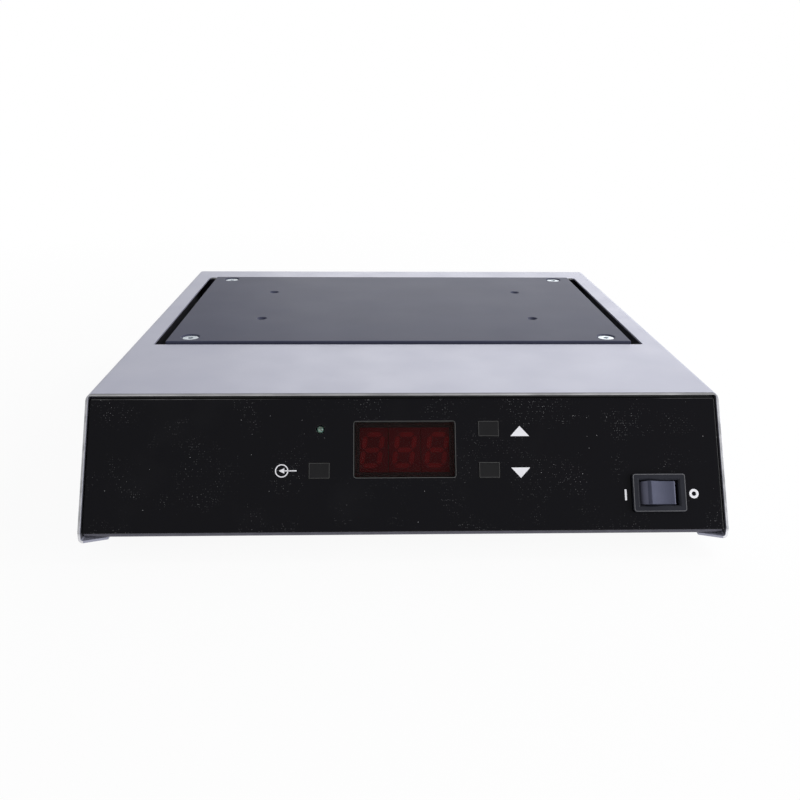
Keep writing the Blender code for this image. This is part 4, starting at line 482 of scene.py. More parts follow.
def black_gloss(name, tone, speck_share):
    """Gloss black plastic with fine dust on it, thicker in some places."""
    finish = Finish(name, tone, 0.16, 0.0, Specular_IOR_Level=0.06)
    drift = finish.span(finish.noise(0.016, 4.0), 0.50, 0.74)
    fine = finish.reckon("MULTIPLY", finish.specks(0.0005, speck_share, 0.04, 0.26), drift)
    patches = finish.span(finish.noise(0.0016, 2.0), 0.40, 0.62, 0.15, 1.0)
    grit = finish.specks(0.0036, speck_share, 0.012, 0.040)
    dust = finish.reckon("MAXIMUM", finish.reckon("MULTIPLY", fine, patches), grit)
    finish.over(finish.span(finish.noise(0.03, 4.0), 0.55, 0.8, 0.0, 0.006), (0.5, 0.5, 0.52))
    finish.over(finish.reckon("MULTIPLY", dust, 0.85), (0.7, 0.7, 0.72))
    # The light broken edges are partly wear and partly a painted highlight.
    finish.sheen_patches(0.01, 0.05).worn_and_highlit_edges(0.0003, 0.3, (0.22, 0.22, 0.22))
    return finish.relief(finish.noise(0.002, 2.0, (1.0, 0.06, 1.0)), 0.000003, 0.4)


def glinting_lip(name, tone, glint):
    """Painted glint along the upper lip of the front plate, brighter towards its two ends."""
    finish = Finish(name, tone, 0.3, 0.0, Specular_IOR_Level=0.06)
    across = finish.along("X")
    left = finish.span(across, -0.090, -0.040, 1.0, 0.0)
    right = finish.span(across, 0.098, 0.110, 0.0, 0.7)
    broken = finish.span(finish.noise(0.006, 3.0), 0.3, 0.6, 0.4, 1.0)
    finish.over(finish.reckon("MULTIPLY", finish.reckon("MAXIMUM", left, right), broken), tuple(glint))
    return finish.sheen_patches(0.01, 0.05).grain(0.002, 2.0, 0.000003, 0.4)


def red_filter(name, tone):
    """Dark red window, partly clear, with a few specks of dust."""
    finish = Finish(name, tone, 0.10, 0.0, Specular_IOR_Level=0.05, Alpha=0.5)
    finish.clouds(0.02, 0.12)
    drift = finish.span(finish.noise(0.008, 3.0), 0.52, 0.7, 0.0, 0.6)
    dust = finish.reckon("MULTIPLY", finish.specks(0.0009, 0.3, 0.08, 0.2), drift)
    finish.over(dust, (0.45, 0.30, 0.28)).sheen_patches(0.01, 0.03)
    return finish.grain(0.004, 2.0, 0.000003, 0.3)


def moulded(name, tone, roughness, grain=0.0004, depth=0.000010, specular=0.4):
    """Moulded plastic with a fine eroded grain."""
    finish = Finish(name, tone, roughness, 0.0, Specular_IOR_Level=specular)
    finish.clouds(0.012, 0.10).sheen_patches(0.004, 0.06)
    return finish.grain(grain, 3.0, depth, 0.6)


def worn_and_highlit_plastic(name, tone, worn):
    """Plastic of the rocker, lighter along its edges: partly where fingers rub them, partly a painted
    highlight.
    """
    return moulded(name, tone, 0.5, specular=0.03).worn_and_highlit_edges(0.0002, 0.6, tuple(worn))


def plate_coat(name, tone, roughness):
    """Dark baked coating of the plate, slightly mottled, with faint rub marks."""
    finish = Finish(name, tone, roughness, 0.0, Specular_IOR_Level=0.05)
    mottle = finish.span(finish.noise(0.022, 4.0), 0.3, 0.7)
    rub = finish.span(finish.noise(0.0025, 3.0, (0.08, 1.0, 1.0)), 0.62, 0.85, 0.0, 0.25)
    finish.between(mottle, -0.04, 0.04).over(rub, finish.shade(0.25))
    # The much lighter edges are partly wear and partly a painted highlight.
    finish.worn_and_highlit_edges(0.0003, 0.6, finish.shade(1.6)).sheen_patches(0.03, 0.015)
    return finish.grain(0.0003, 2.0, 0.000008, 0.5)


def bright_metal(name, tone, roughness, streak=(1.0, 1.0, 0.15)):
    """Plated or drawn metal with fine tool marks and small stains."""
    finish = Finish(name, tone, roughness, 1.0)
    finish.between(finish.span(finish.noise(0.003, 4.0), 0.35, 0.75), 0.06, -0.16)
    finish.sheen_patches(0.0015, 0.08)
    return finish.relief(finish.noise(0.0006, 3.0, streak), 0.000006, 0.5)


def rubber(name, tone):
    finish = Finish(name, tone, 0.78, 0.0, Specular_IOR_Level=0.3)
    finish.clouds(0.004, 0.25).sheen_patches(0.002, 0.08)
    return finish.grain(0.0003, 4.0, 0.00004, 0.7)


def fibre(name, tone):
    """Pressed ceramic fibre: soft, matted and slightly stained."""
    finish = Finish(name, tone, 0.95, 0.0, Specular_IOR_Level=0.1)
    mat = finish.noise(0.0015, 5.0, (1.0, 0.25, 1.0))
    return finish.between(finish.span(mat, 0.3, 0.7), -0.15, 0.08).relief(mat, 0.0002, 0.8)


def heated_sheath(name, tone):
    """Steel sheath with the straw and brown tints of heat."""
    finish = Finish(name, tone, 0.42, 0.85)
    tint = finish.span(finish.noise(0.02, 3.0), 0.35, 0.7)
    finish.paint(finish.blend(tint, finish.shade(0.1), (0.17, 0.11, 0.07)))
    finish.sheen_patches(0.006, 0.1)
    return finish.grain(0.0006, 3.0, 0.00001, 0.5)


def solder_mask(name, tone):
    """Green board: lighter tracks under the mask and tinned pads."""
    finish = Finish(name, tone, 0.32, 0.0, Coat_Weight=0.3, Coat_Roughness=0.1)
    tracks = finish.add("ShaderNodeTexBrick", offset=0.5)
    finish.feed(tracks.inputs["Vector"], finish.place)
    sizes = {"Scale": 130.0, "Mortar Size": 0.05, "Brick Width": 1.6, "Row Height": 0.28}
    for socket, value in sizes.items():
        tracks.inputs[socket].default_value = value
    routed = finish.span(finish.noise(0.01, 1.0), 0.45, 0.5)
    net = finish.reckon("MULTIPLY", tracks.outputs["Fac"], routed)
    tinned = finish.span(finish.cells(0.0045).outputs["Distance"], 0.14, 0.16, 1.0, 0.0)
    finish.over(net, finish.shade(1.2)).over(tinned, (0.55, 0.55, 0.52))
    return finish.sheen_patches(0.01, 0.06).relief(net, 0.00003, 0.4)


def lamp_lens(name, tone):
    finish = Finish(name, tone, 0.14, 0.0, Subsurface_Weight=0.35, Subsurface_Scale=0.002)
    finish.clouds(0.0011, 0.75, 1.0).sheen_patches(0.001, 0.05)
    return finish.grain(0.0008, 2.0, 0.000004, 0.4)


def tube_glass(name, tone):
    finish = Finish(name, tone, 0.05, 0.0, Alpha=0.45)
    finish.clouds(0.004, 0.05).sheen_patches(0.003, 0.03)
    return finish.grain(0.003, 2.0, 0.00001, 0.3)


def braid(name, tone):
    """Woven glass-fibre sleeve."""
    finish = Finish(name, tone, 0.85, 0.0)
    weave = finish.cells(0.0004, "SMOOTH_F1").outputs["Distance"]
    return finish.between(finish.span(weave, 0.1, 0.6), 0.1, -0.25).relief(weave, 0.00005, 0.7)


def ribbed_cable(name, tone):
    """Flat cable whose conductors show as ridges."""
    finish = Finish(name, tone, 0.5, 0.0)
    ridges = finish.add("ShaderNodeTexWave", wave_type="BANDS", bands_direction="X")
    finish.feed(ridges.inputs["Vector"], finish.place)
    ridges.inputs["Scale"].default_value = 250.0
    finish.between(ridges.outputs["Fac"], -0.35, 0.15).sheen_patches(0.004, 0.06)
    return finish.relief(ridges.outputs["Fac"], 0.00015, 0.8)


def make_finishes(scene):
    """All finishes by their names, and the slots of the record that they stand for."""
    housing, front, plate = scene.preheater_housing, scene.preheater_front, scene.preheater_plate
    rear, inside = scene.preheater_rear, scene.preheater_inside
    made = {
        "cover_sheet": satin_coat("satin_cover", housing.cover_colour, housing.cover_roughness),
        "cover_edge": cut_edge("cover_edge", housing.edge_colour),
        "chassis_sheet": zinc_sheet("zinc_plated_sheet", housing.chassis_shaded_colour),
        "fascia": black_gloss("gloss_front", front.plate_colour, front.speck_share),
        "window": red_filter("red_window", front.filter_colour),
        "black_plastic": moulded("black_moulding", rear.moulding, 0.42),
        "digit_face": moulded("digit_face", front.digit_colour, 0.6, specular=MATT),
        "plate_coating": plate_coat("plate_coating", plate.coating, plate.coating_roughness),
        "zinc": bright_metal("bright_zinc", plate.zinc, 0.26),
        "zinc_in_painted_shade": bright_metal("heat_darkened_zinc", plate.zinc_in_painted_shade, 0.55),
        "rubber": rubber("foot_rubber", housing.rubber_colour),
        "fibre_board": fibre("ceramic_fibre", inside.fibre),
        "element_sheath": heated_sheath("element_sheath", inside.sheath),
        "aluminium": bright_metal("plain_aluminium", inside.aluminium, 0.34, (0.05, 1.0, 1.0)),
        "circuit_board": solder_mask("solder_mask", inside.board),
        "brass": bright_metal("plated_brass", rear.brass, 0.28),
        "lamp_lens": lamp_lens("lamp_lens", front.lens_colour),
        "fuse_glass": tube_glass("fuse_tube", inside.glass),
        "wire_brown": moulded("brown_insulation", inside.brown, 0.45),
        "wire_blue": moulded("blue_insulation", inside.blue, 0.45),
        "wire_white": braid("glass_sleeve", inside.sleeve),
        "ribbon": ribbed_cable("flat_cable", inside.ribbon),
        "key_plastic": moulded("key_plastic", front.key_colour, 0.55, 0.0003, 0.000012, specular=MATT),
        "bezel_plastic": moulded("bezel_plastic", front.bezel_colour, 0.36, specular=0.10),
        "bezel_rim": moulded("bezel_rim", front.bezel_glint_colour, 0.4, specular=0.3),
        "rocker_plastic": worn_and_highlit_plastic("rocker_plastic", front.rocker_colour, front.rocker_worn_and_highlit_colour),
        "rocker_ends": moulded("rocker_ends", front.rocker_end_light_colour, 0.5, specular=0.03),
        "plate_lip": glinting_lip("plate_lip", front.plate_colour, front.glint_colour),
        "plate_margin": moulded("plate_margin", front.margin_shade_colour, 0.5, specular=0.03),
        "ink": moulded("printed_ink", front.ink_colour, 0.55, 0.0004, 0.000004, specular=0.2),
        "thin_line": moulded("thin_line", front.line_colour, 0.5, 0.0006, 0.000004, specular=0.1),
        "unlit_segment": moulded("unlit_segment", front.segment_colour, 0.5, specular=MATT),
        "segment_rim": moulded("segment_rim", front.segment_rim_colour, 0.5, specular=MATT),
        "dark_lining": moulded("dark_lining", housing.inner_shade_colour, 0.8, specular=MATT),
        "window_mask": moulded("window_mask", front.mask_colour, 0.7, specular=MATT),
    }
    return {name: finish.material for name, finish in made.items()}


# Ways of working

def alone(piece):
    """Makes one piece the only selected and active one, in object mode."""
    if bpy.context.object and bpy.context.object.mode != "OBJECT":
        bpy.ops.object.mode_set(mode="OBJECT")
    bpy.ops.object.select_all(action="DESELECT")
    if piece:
        bpy.context.view_layer.objects.active = piece
        piece.select_set(True)
    return piece


def named(name):
    """The primitive just added, under its own name and with its place in its mesh."""
    piece = bpy.context.object
    piece.name = piece.data.name = name
    bpy.ops.object.transform_apply(location=True, rotation=True, scale=True)
    return piece


def block(name, middle, size):
    alone(None)
    bpy.ops.mesh.primitive_cube_add(size=1.0, location=middle, scale=size)
    return named(name)


def disc(name, middle, radius, height, sides=48, turn=0.0):
    alone(None)
    bpy.ops.mesh.primitive_cylinder_add(
        vertices=sides, radius=radius, depth=height, location=middle, rotation=(0.0, 0.0, turn)
    )
    return named(name)


def into_edit(piece, mode="FACE"):
    alone(piece)
    bpy.ops.object.mode_set(mode="EDIT")
    bpy.ops.mesh.select_mode(type=mode)
    bpy.ops.mesh.select_all(action="DESELECT")
    return bmesh.from_edit_mesh(piece.data)


def pick(piece, kind, test):
    """Opens a piece for editing with only the elements of one kind selected that pass the test."""
    work = into_edit(piece, kind)
    elements = {"VERT": work.verts, "EDGE": work.edges, "FACE": work.faces}[kind]
    chosen = [element for element in elements if test(element)]
    if not chosen:
        raise RuntimeError(f"nothing of {piece.name} fits")
    for element in chosen:
        element.select_set(True)
    bmesh.update_edit_mesh(piece.data)


def close(piece):
    """Closes a piece after editing, with its faces pointing outwards."""
    bpy.ops.mesh.select_all(action="SELECT")
    bpy.ops.mesh.normals_make_consistent(inside=False)
    bpy.ops.object.mode_set(mode="OBJECT")
    return piece


def is_upright(edge):
    a, b = (vert.co for vert in edge.verts)
    return (a - b).to_2d().length < SAME_PLACE / 100


def round_corners(piece, radius, segments=4, test=is_upright):
    pick(piece, "EDGE", test)
    bpy.ops.mesh.bevel(offset=radius, segments=segments, affect="EDGES")
    return close(piece)


def soften(piece, width, segments=2, limit=30.0):
    """Rounds all sharp edges a little, and shades the piece smooth between them."""
    alone(piece)
    edges = piece.modifiers.new("edges", "BEVEL")
    edges.width = width
    edges.segments = segments
    edges.limit_method = "ANGLE"
    edges.angle_limit = math.radians(limit)
    bpy.ops.object.modifier_apply(modifier=edges.name)
    bpy.ops.object.shade_smooth_by_angle(angle=math.radians(limit))
    flats = piece.modifiers.new("flats", "WEIGHTED_NORMAL")
    flats.keep_sharp = True
    bpy.ops.object.modifier_apply(modifier=flats.name)
    return piece


def open_middle(piece, rim):
    """Turns a flat solid into a ring: insets its two faces and bridges them through."""
    pick(piece, "FACE", lambda face: abs(face.normal.z) > SAME_WAY)
    bpy.ops.mesh.inset(thickness=rim)
    bpy.ops.mesh.bridge_edge_loops()
    return close(piece)


def moved(piece, matrix):
    """Lays a piece somewhere else, with its new place in its mesh."""
    alone(piece)
    piece.matrix_world = matrix
    bpy.ops.object.transform_apply(location=True, rotation=True, scale=True)
    return piece


def twin(piece, name, matrix=Matrix.Identity(4)):
    """A copy of a piece with its own mesh."""
    copy = bpy.data.objects.new(name, piece.data.copy())
    copy.data.name = name
    bpy.context.scene.collection.objects.link(copy)
    return moved(copy, matrix)


def joined(pieces, name):
    alone(pieces[0])
    for piece in pieces:
        piece.select_set(True)
    bpy.ops.object.join()
    piece = bpy.context.object
    piece.name = piece.data.name = name
    return piece


def from_node(node, name):
    """A workable copy of a solid: its triangles merged into whole faces."""
    copy = twin(frame["nodes"][node], name)
    into_edit(copy)
    bpy.ops.mesh.select_all(action="SELECT")
    bpy.ops.mesh.remove_doubles(threshold=0.4 * SAME_PLACE)
    bpy.ops.mesh.dissolve_limited(angle_limit=math.radians(0.5))
    bpy.ops.object.mode_set(mode="OBJECT")
    return copy


def material_of(look):
    return bpy.data.materials[FINISH_NAMES[look]]


def finished(piece, look, body="root", replaces=None):
    """Gives a piece its finish and slot, the body that it rides on and the node that it stands for."""
    piece.data.materials.clear()
    piece.data.materials.append(material_of(look))
    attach(piece, body)
    if replaces:
        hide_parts(replaces)
    return piece


def dressed(node, name, edge, look, body="root", segments=2, limit=30.0):
    """Puts a copy of a solid in its place, with softened edges and its finish."""
    return finished(soften(from_node(node, name), edge, segments, limit), look, body, node)


def coat_faces(piece, look, test):
    """Gives the faces that pass the test a finish of their own."""
    piece.data.materials.append(material_of(look))
    for face in piece.data.polygons:
        if test(face):
            face.material_index = len(piece.data.materials) - 1


def slant_run(housing):
    """How far the front runs back from the cover's foot to its top."""
    return (COVER_HIGH.z - COVER_LOW.z) * math.tan(housing.slant) - housing.corner_trim


def slanted(scene):
    """Where the flat drawing of the front lies: from the cover's top front edge down the slant."""
    housing = scene.preheater_housing
    corner = Vector((0.0, COVER_LOW.y + slant_run(housing), COVER_HIGH.z))
    return Matrix.Translation(corner) @ Matrix.Rotation(math.pi / 2 - housing.slant, 4, "X")


def laid_on_front(piece, scene, look):
    """Lays a piece that was modelled flat on the slanted front, and finishes it."""
    return finished(moved(piece, slanted(scene)), look)


def print_height(front):
    """Height of a print, a third of which lies in the face under it."""
    return 1.5 * front.ink


def print_level(front, recess):
    """Middle height of a print on a face with the given recess."""
    return front.ink / 4 - recess


def printed_block(front, name, middle, size, recess=None):
    """A flat bar of ink, a strip of painted shade or glint, or a thin rim to be, on the front plate or on a
    face with its own recess.
    """
    level = print_level(front, front.recess if recess is None else recess)
    return block(name, (middle[0], -middle[1], level), (*size, print_height(front)))


def printed_disc(front, name, middle, radius):
    place = (middle[0], -middle[1], print_level(front, front.recess))
    return disc(name, place, radius, print_height(front))


# Operators

class MakeFinishes(bpy.types.Operator):
    """Mix all finishes, and give each solid the one of its slot"""

    bl_idname = "preheater.make_finishes"
    bl_label = "Finishes"

    def execute(self, context):
        made = make_finishes(context.scene)
        FINISH_NAMES.update({look: material.name for look, material in made.items()})
        for part in frame["record"]["subparts"]:
            mesh = frame["nodes"][part["node"]].data
            mesh.materials.clear()
            mesh.materials.append(made[part["material_slot"]])
        return {"FINISHED"}


class MakeHousing(bpy.types.Operator):
    """Cover with its seals, chassis, screws and feet, with softened edges"""

    bl_idname = "preheater.make_housing"
    bl_label = "Housing"

    def execute(self, context):
        scene = context.scene
        housing = scene.preheater_housing
        cover = from_node("cover", "cover_shell")
        self.widen_bends(housing, cover)
        soften(cover, housing.cut_edge)
        finished(cover, "cover_sheet", replaces="cover")
        self.coat_edges(scene, cover)
        self.shade_inside(housing, cover)
        across, along, level = housing.seal_middle
        for side, way in SIDES.items():
            seal = block(f"rear_seal_{side}", (way * across, along, level), housing.seal_size)
            finished(soften(seal, FINE_EDGE), "rubber")
        dressed("chassis", "chassis_shell", housing.cut_edge, "chassis_sheet")
        for end, side in CORNERS:
            dressed(f"foot_{end}_{side}", f"rubber_foot_{end}_{side}", SOFT_EDGE, "rubber")
            dressed(f"cover_screw_{end}_{side}", f"pan_screw_{end}_{side}", FINE_EDGE, "zinc")
        return {"FINISHED"}

    def widen_bends(self, housing, cover):
        """Grows the outside of both bends about their sharp corners, end by end."""
        growth = housing.bend / housing.cad_bend
        for side in SIDES.values():
            for end, y in zip(ENDS.values(), (COVER_LOW.y + slant_run(housing), COVER_HIGH.y)):
                corner = Vector((side * COVER_HIGH.x, y, COVER_HIGH.z))
                pick(cover, "VERT", self.bend_test(corner, side, end, housing.cad_bend))
                bpy.ops.transform.resize(value=(growth,) * 3, center_override=corner)
                bpy.ops.object.mode_set(mode="OBJECT")

    def bend_test(self, corner, side, end, radius):
        """A test for the points at one end of a bend's outer arc."""
        def in_bend(vert):
            x = side * (vert.co.x - corner.x) + radius
            z = vert.co.z - corner.z + radius
            on_arc = abs(math.hypot(x, z) - radius) < SAME_PLACE and min(x, z) > -SAME_PLACE / 5
            return on_arc and end * (vert.co.y - corner.y) > -SAME_PLACE

        return in_bend

    def coat_edges(self, scene, cover):
        """Gives the sheet's cut edges, in front and at the rear, their thinner coat."""
        out_of_slant = slanted(scene).col[2].to_3d()
        coat_faces(cover, "cover_edge", lambda face: max(
            face.normal.dot(out_of_slant), abs(face.normal.y)) > SAME_WAY)

    def shade_inside(self, housing, cover):
        """Gives the inner faces of the cover's sides a dark tone as painted shade."""
        def is_inner(face):
            inwards = -math.copysign(1.0, face.center.x) * face.normal.x
            depth = COVER_HIGH.x - abs(face.center.x)
            return inwards > SAME_WAY and abs(depth - housing.sheet) < 10 * SAME_PLACE

        coat_faces(cover, "dark_lining", is_inner)


class MakeFrontPlate(bpy.types.Operator):
    """Gloss front plate with its printed marks, a strip of painted shade along its top, a painted glint on
    its lip, and a black strip as painted shade under the cover's edge
    """

    bl_idname = "preheater.make_front_plate"
    bl_label = "Front Plate and Marks"

    def execute(self, context):
        scene = context.scene
        front = scene.preheater_front
        dressed("front_fascia", "front_plate", FINE_EDGE, "fascia")
        for mark in (*self.arrows(front), self.enter_mark(front), *self.switch_marks(front)):
            laid_on_front(mark, scene, "ink")
        laid_on_front(self.window_line(front), scene, "thin_line")
        # A black strip under the cover's front edge stands in for the shade in the gap there.
        down, depth = front.top_shade_strip
        seal = soften(block("sealing_strip", (0, -down, -depth), front.top_shade_strip_size), LENS_EDGE)
        laid_on_front(seal, scene, "rubber")
        # The margin is a strip of painted shade and the lip a painted glint.
        for name, (down, width) in {"plate_margin": front.margin, "plate_lip": front.lip}.items():
            strip = printed_block(front, name, (0, down), (front.strip_length, width))
            laid_on_front(round_corners(strip, 0.4 * width, 2), scene, name)
        return {"FINISHED"}

    def arrows(self, front):
        """A mark that points up beside the upper key, and one that points down beside the lower key."""
        width, height = front.arrow_size
        radius, corner = width / math.sqrt(3), 0.00012
        marks = []
        for name, way, down in (("up_mark", 1, front.arrow_upper), ("down_mark", -1, front.arrow_lower)):
            mark = disc(name, (0, 0, 0), radius, print_height(front), sides=3)
            squeeze = Matrix.Diagonal((1.0, way * height / (1.5 * radius), 1.0, 1.0))
            centre = Matrix.Translation((0, -radius / 4, 0))
            place = Matrix.Translation((front.arrow_across, -down, print_level(front, front.recess)))
            into_edit(moved(mark, place @ squeeze @ centre))
            marks.append(round_corners(close(mark), corner, 2))
        return marks

    def enter_mark(self, front):
        """A circle with an arrow that points into its middle from the right."""
        across, down = front.circle_middle
        head_shift, tail_shift = 0.0003, 0.0007
        circle = printed_disc(front, "enter_circle", (across, down), front.circle_radius)
        open_middle(circle, front.stroke)
        head_length, half = front.head_size
        head = disc("arrow_head", (0, 0, 0), head_length / 1.5, print_height(front), 3, math.pi / 2)
        squeeze = Matrix.Diagonal((1.0, half / (head_length / math.sqrt(3)), 1.0, 1.0))
        place = (across + head_shift, -down, print_level(front, front.recess))
        moved(head, Matrix.Translation(place) @ squeeze)
        tail_start = across + tail_shift
        middle = ((tail_start + front.tail_end) / 2, down)
        tail = printed_block(front, "arrow_tail", middle, (front.tail_end - tail_start, front.stroke))
        return joined([circle, head, tail], "enter_mark")

    def switch_marks(self, front):
        on = round_corners(printed_block(front, "on_mark", front.on_mark, front.on_size), 0.0002, 3)
        outer, inner = front.off_radii
        off = printed_disc(front, "off_mark", front.off_mark, outer)
        return on, open_middle(off, outer - inner)

    def window_line(self, front):
        size = [side + 2 * front.line for side in front.window_size]
        line = printed_block(front, "window_line", front.window_middle, size)
        return open_middle(round_corners(line, front.window_corner + front.line), front.line)


class MakeDisplay(bpy.types.Operator):
    """Red window with the unlit figures behind it"""

    bl_idname = "preheater.make_display"
    bl_label = "Display"

    def execute(self, context):
        scene = context.scene
        front = scene.preheater_front
        dressed("display_window", "red_window", SMALL_EDGE, "window")
        across, down = front.window_middle
        sheet = 0.0002
        mask = block("window_mask", (across, -down, -front.mask_depth), (*front.window_size, sheet))
        open_middle(mask, (front.window_size[0] - front.mask_opening) / 2)
        laid_on_front(mask, scene, "window_mask")
        for name, look, blur, sunk in (
            ("unlit_figure", "unlit_segment", 0.0, 0.00012),
            ("figure_rim", "segment_rim", front.segment_blur, 0.00020),
        ):
            figure = self.figure(front, front.segment_bar + 2 * blur, front.segment_gap - blur)
            for digit in DIGITS:
                x = across + (digit - 2) * front.digit_pitch
                place = slanted(scene) @ Matrix.Translation((x, -down, -sunk - front.digit_depth))
                finished(twin(figure, f"{name}_{digit}", place), look)
            bpy.data.objects.remove(figure)
        return {"FINISHED"}

    def bar(self, name, span, width):
        """One bar with pointed ends, along X."""
        height, point = 0.00024, 0.36 * width
        return round_corners(block(name, (0, 0, 0), (span, width, height)), point, 1)

    def figure(self, front, width, gap):
        """The seven bars of an eight, leaning to the right."""
        reach = front.segment_span - front.segment_bar
        half = (front.segment_height - front.segment_bar) / 2
        flat = self.bar("flat_bar", reach - 2 * gap, width)
        upright = self.bar("upright_bar", half - 2 * gap, width)
        quarter = Matrix.Rotation(math.pi / 2, 4, "Z")
        bars = [flat]
        for level in (half, -half):
            bars.append(twin(flat, "flat_bar_copy", Matrix.Translation((0, level, 0))))
        for side in (-1, 1):
            for level in (-half / 2, half / 2):
                place = Matrix.Translation((side * reach / 2, level, 0)) @ quarter
                bars.append(twin(upright, "upright_bar_copy", place))
        bpy.data.objects.remove(upright)
        figure = joined(bars, "figure")
        lean = Matrix.Identity(4)
        lean[0][1] = math.tan(front.segment_lean)
        figure.data.transform(lean)
        return figure


class MakeKeys(bpy.types.Operator):
    """Key caps with their thin raised rims in a light tone as a painted highlight of the keys' edges, and
    the status lamp
    """

    bl_idname = "preheater.make_keys"
    bl_label = "Keys and Lamp"

    def execute(self, context):
        scene = context.scene
        front = scene.preheater_front
        places = {
            "enter": (front.key_left, front.key_lower),
            "up": (front.key_right, front.key_upper),
            "down": (front.key_right, front.key_lower),
        }
        # The rims' light tone is a painted highlight of the keys' edges.
        size = [side - 0.0001 for side in front.key_size]
        rim = printed_block(front, "rim", (0, 0), size, front.key_recess)
        open_middle(rim, 0.6 * front.line)
        for key, (across, down) in places.items():
            node = f"{key}_key"
            dressed(node, f"{node}_cap", SMALL_EDGE, "key_plastic", node)
            edge = twin(rim, f"{node}_rim", slanted(scene) @ Matrix.Translation((across, -down, 0)))
            finished(edge, "thin_line", node)
        bpy.data.objects.remove(rim)
        dressed("status_lamp", "lamp_dome", LENS_EDGE, "lamp_lens", limit=40.0)
        return {"FINISHED"}


class MakeSwitch(bpy.types.Operator):
    """Rocker switch: bezel with rounded corners and a thin rim whose light tone is a painted highlight, and
    its tipped rocker with end faces in a lighter tone as painted light
    """

    bl_idname = "preheater.make_switch"
    bl_label = "Rocker Switch"

    def execute(self, context):
        scene = context.scene
        front = scene.preheater_front
        bezel = from_node("power_switch_body", "switch_bezel")
        moved(bezel, slanted(scene).inverted())
        across, down = front.switch_middle
        half_width, half_height = (side / 2 for side in front.switch_size)
        border = 0.001

        def outer_corner(edge):
            a = edge.verts[0].co
            beside = abs(abs(a.x - across) - half_width) < SAME_PLACE
            return is_upright(edge) and beside and abs(abs(a.y + down) - half_height) < SAME_PLACE

        def inner_rim(edge):
            return all(
                vert.co.z > front.bezel_top - SAME_PLACE
                and abs(vert.co.x - across) < half_width - border
                and abs(vert.co.y + down) < half_height - border
                for vert in edge.verts
            )

        round_corners(bezel, front.bezel_corner, 4, outer_corner)
        round_corners(bezel, front.bezel_chamfer, 1, inner_rim)
        soften(moved(bezel, slanted(scene)), BEZEL_EDGE, 3)
        finished(bezel, "bezel_plastic", replaces="power_switch_body")
        laid_on_front(self.rim(front), scene, "bezel_rim")
        rocker = dressed(
            "power_rocker", "rocker_cap", ROCKER_EDGE, "rocker_plastic", "power_rocker",
            limit=35.0,
        )
        # The steep end faces get a lighter tone as painted light.
        steep = 0.6
        coat_faces(rocker, "rocker_ends", lambda face: abs(face.normal.x) > steep)
        return {"FINISHED"}

    def rim(self, front):
        """Thin raised line round the bezel, just inside its outer edge, in a light tone that is a painted
        highlight of that edge.
        """
        inset, width, height, corner, edge = 0.0002, 0.00026, 0.00016, 0.0009, 0.00005
        across, down = front.switch_middle
        size = [side - 2 * inset for side in front.switch_size]
        rim = block("bezel_rim", (across, -down, front.bezel_top), (*size, height))
        return soften(open_middle(round_corners(rim, corner), width), edge, 1)


class MakePlate(bpy.types.Operator):
    """Heating plate with its countersunk screws and the threads of its tapped holes"""

    bl_idname = "preheater.make_plate"
    bl_label = "Heating Plate"

    def execute(self, context):
        plate = context.scene.preheater_plate
        dressed("heater_plate", "hot_plate", plate.edge, "plate_coating")
        thread = self.thread(plate)
        middle = (PLATE_LOW + PLATE_HIGH) / 2
        foot = 0.0001
        for side, column in SIDES.items():
            for end, row in ENDS.items():
                dressed(f"plate_screw_{end}_{side}", f"countersunk_{end}_{side}", SMALL_EDGE, "zinc")
                x = middle.x + column * plate.hole_pitch[0] / 2
                y = middle.y + row * plate.hole_pitch[1] / 2
                place = Matrix.Translation((x, y, PLATE_LOW.z + foot))
                finished(twin(thread, f"thread_{end}_{side}", place), "plate_coating")
        bpy.data.objects.remove(thread)
        # The standoffs' darkened zinc is painted shade for the gap round the plate.
        for end, side in CORNERS:
            node = f"plate_pillar_{end}_{side}"
            dressed(node, f"standoff_{end}_{side}", PILLAR_EDGE, "zinc_in_painted_shade")
        return {"FINISHED"}

    def thread(self, plate):
        """One helical ridge, closed at both ends."""
        play, flank = 0.00004, 0.4 * plate.thread_pitch
        outer = plate.bore - play
        alone(None)
        bpy.ops.mesh.primitive_circle_add(vertices=3, radius=1.0, fill_type="NOTHING")
        ridge = named("thread")
        corners = ((outer, 0, 0), (outer - plate.thread_depth, 0, flank), (outer, 0, 2 * flank))
        for vert, corner in zip(ridge.data.vertices, corners):
            vert.co = corner
        turns = ridge.modifiers.new("turns", "SCREW")
        turns.screw_offset = plate.thread_pitch
        turns.iterations = plate.thread_turns
        turns.steps = turns.render_steps = 32
        alone(ridge)
        bpy.ops.object.modifier_apply(modifier=turns.name)
        pick(ridge, "EDGE", lambda edge: edge.is_boundary)
        bpy.ops.mesh.fill_holes(sides=3)
        close(ridge)
        bpy.ops.object.shade_smooth_by_angle(angle=math.radians(40))
        return ridge


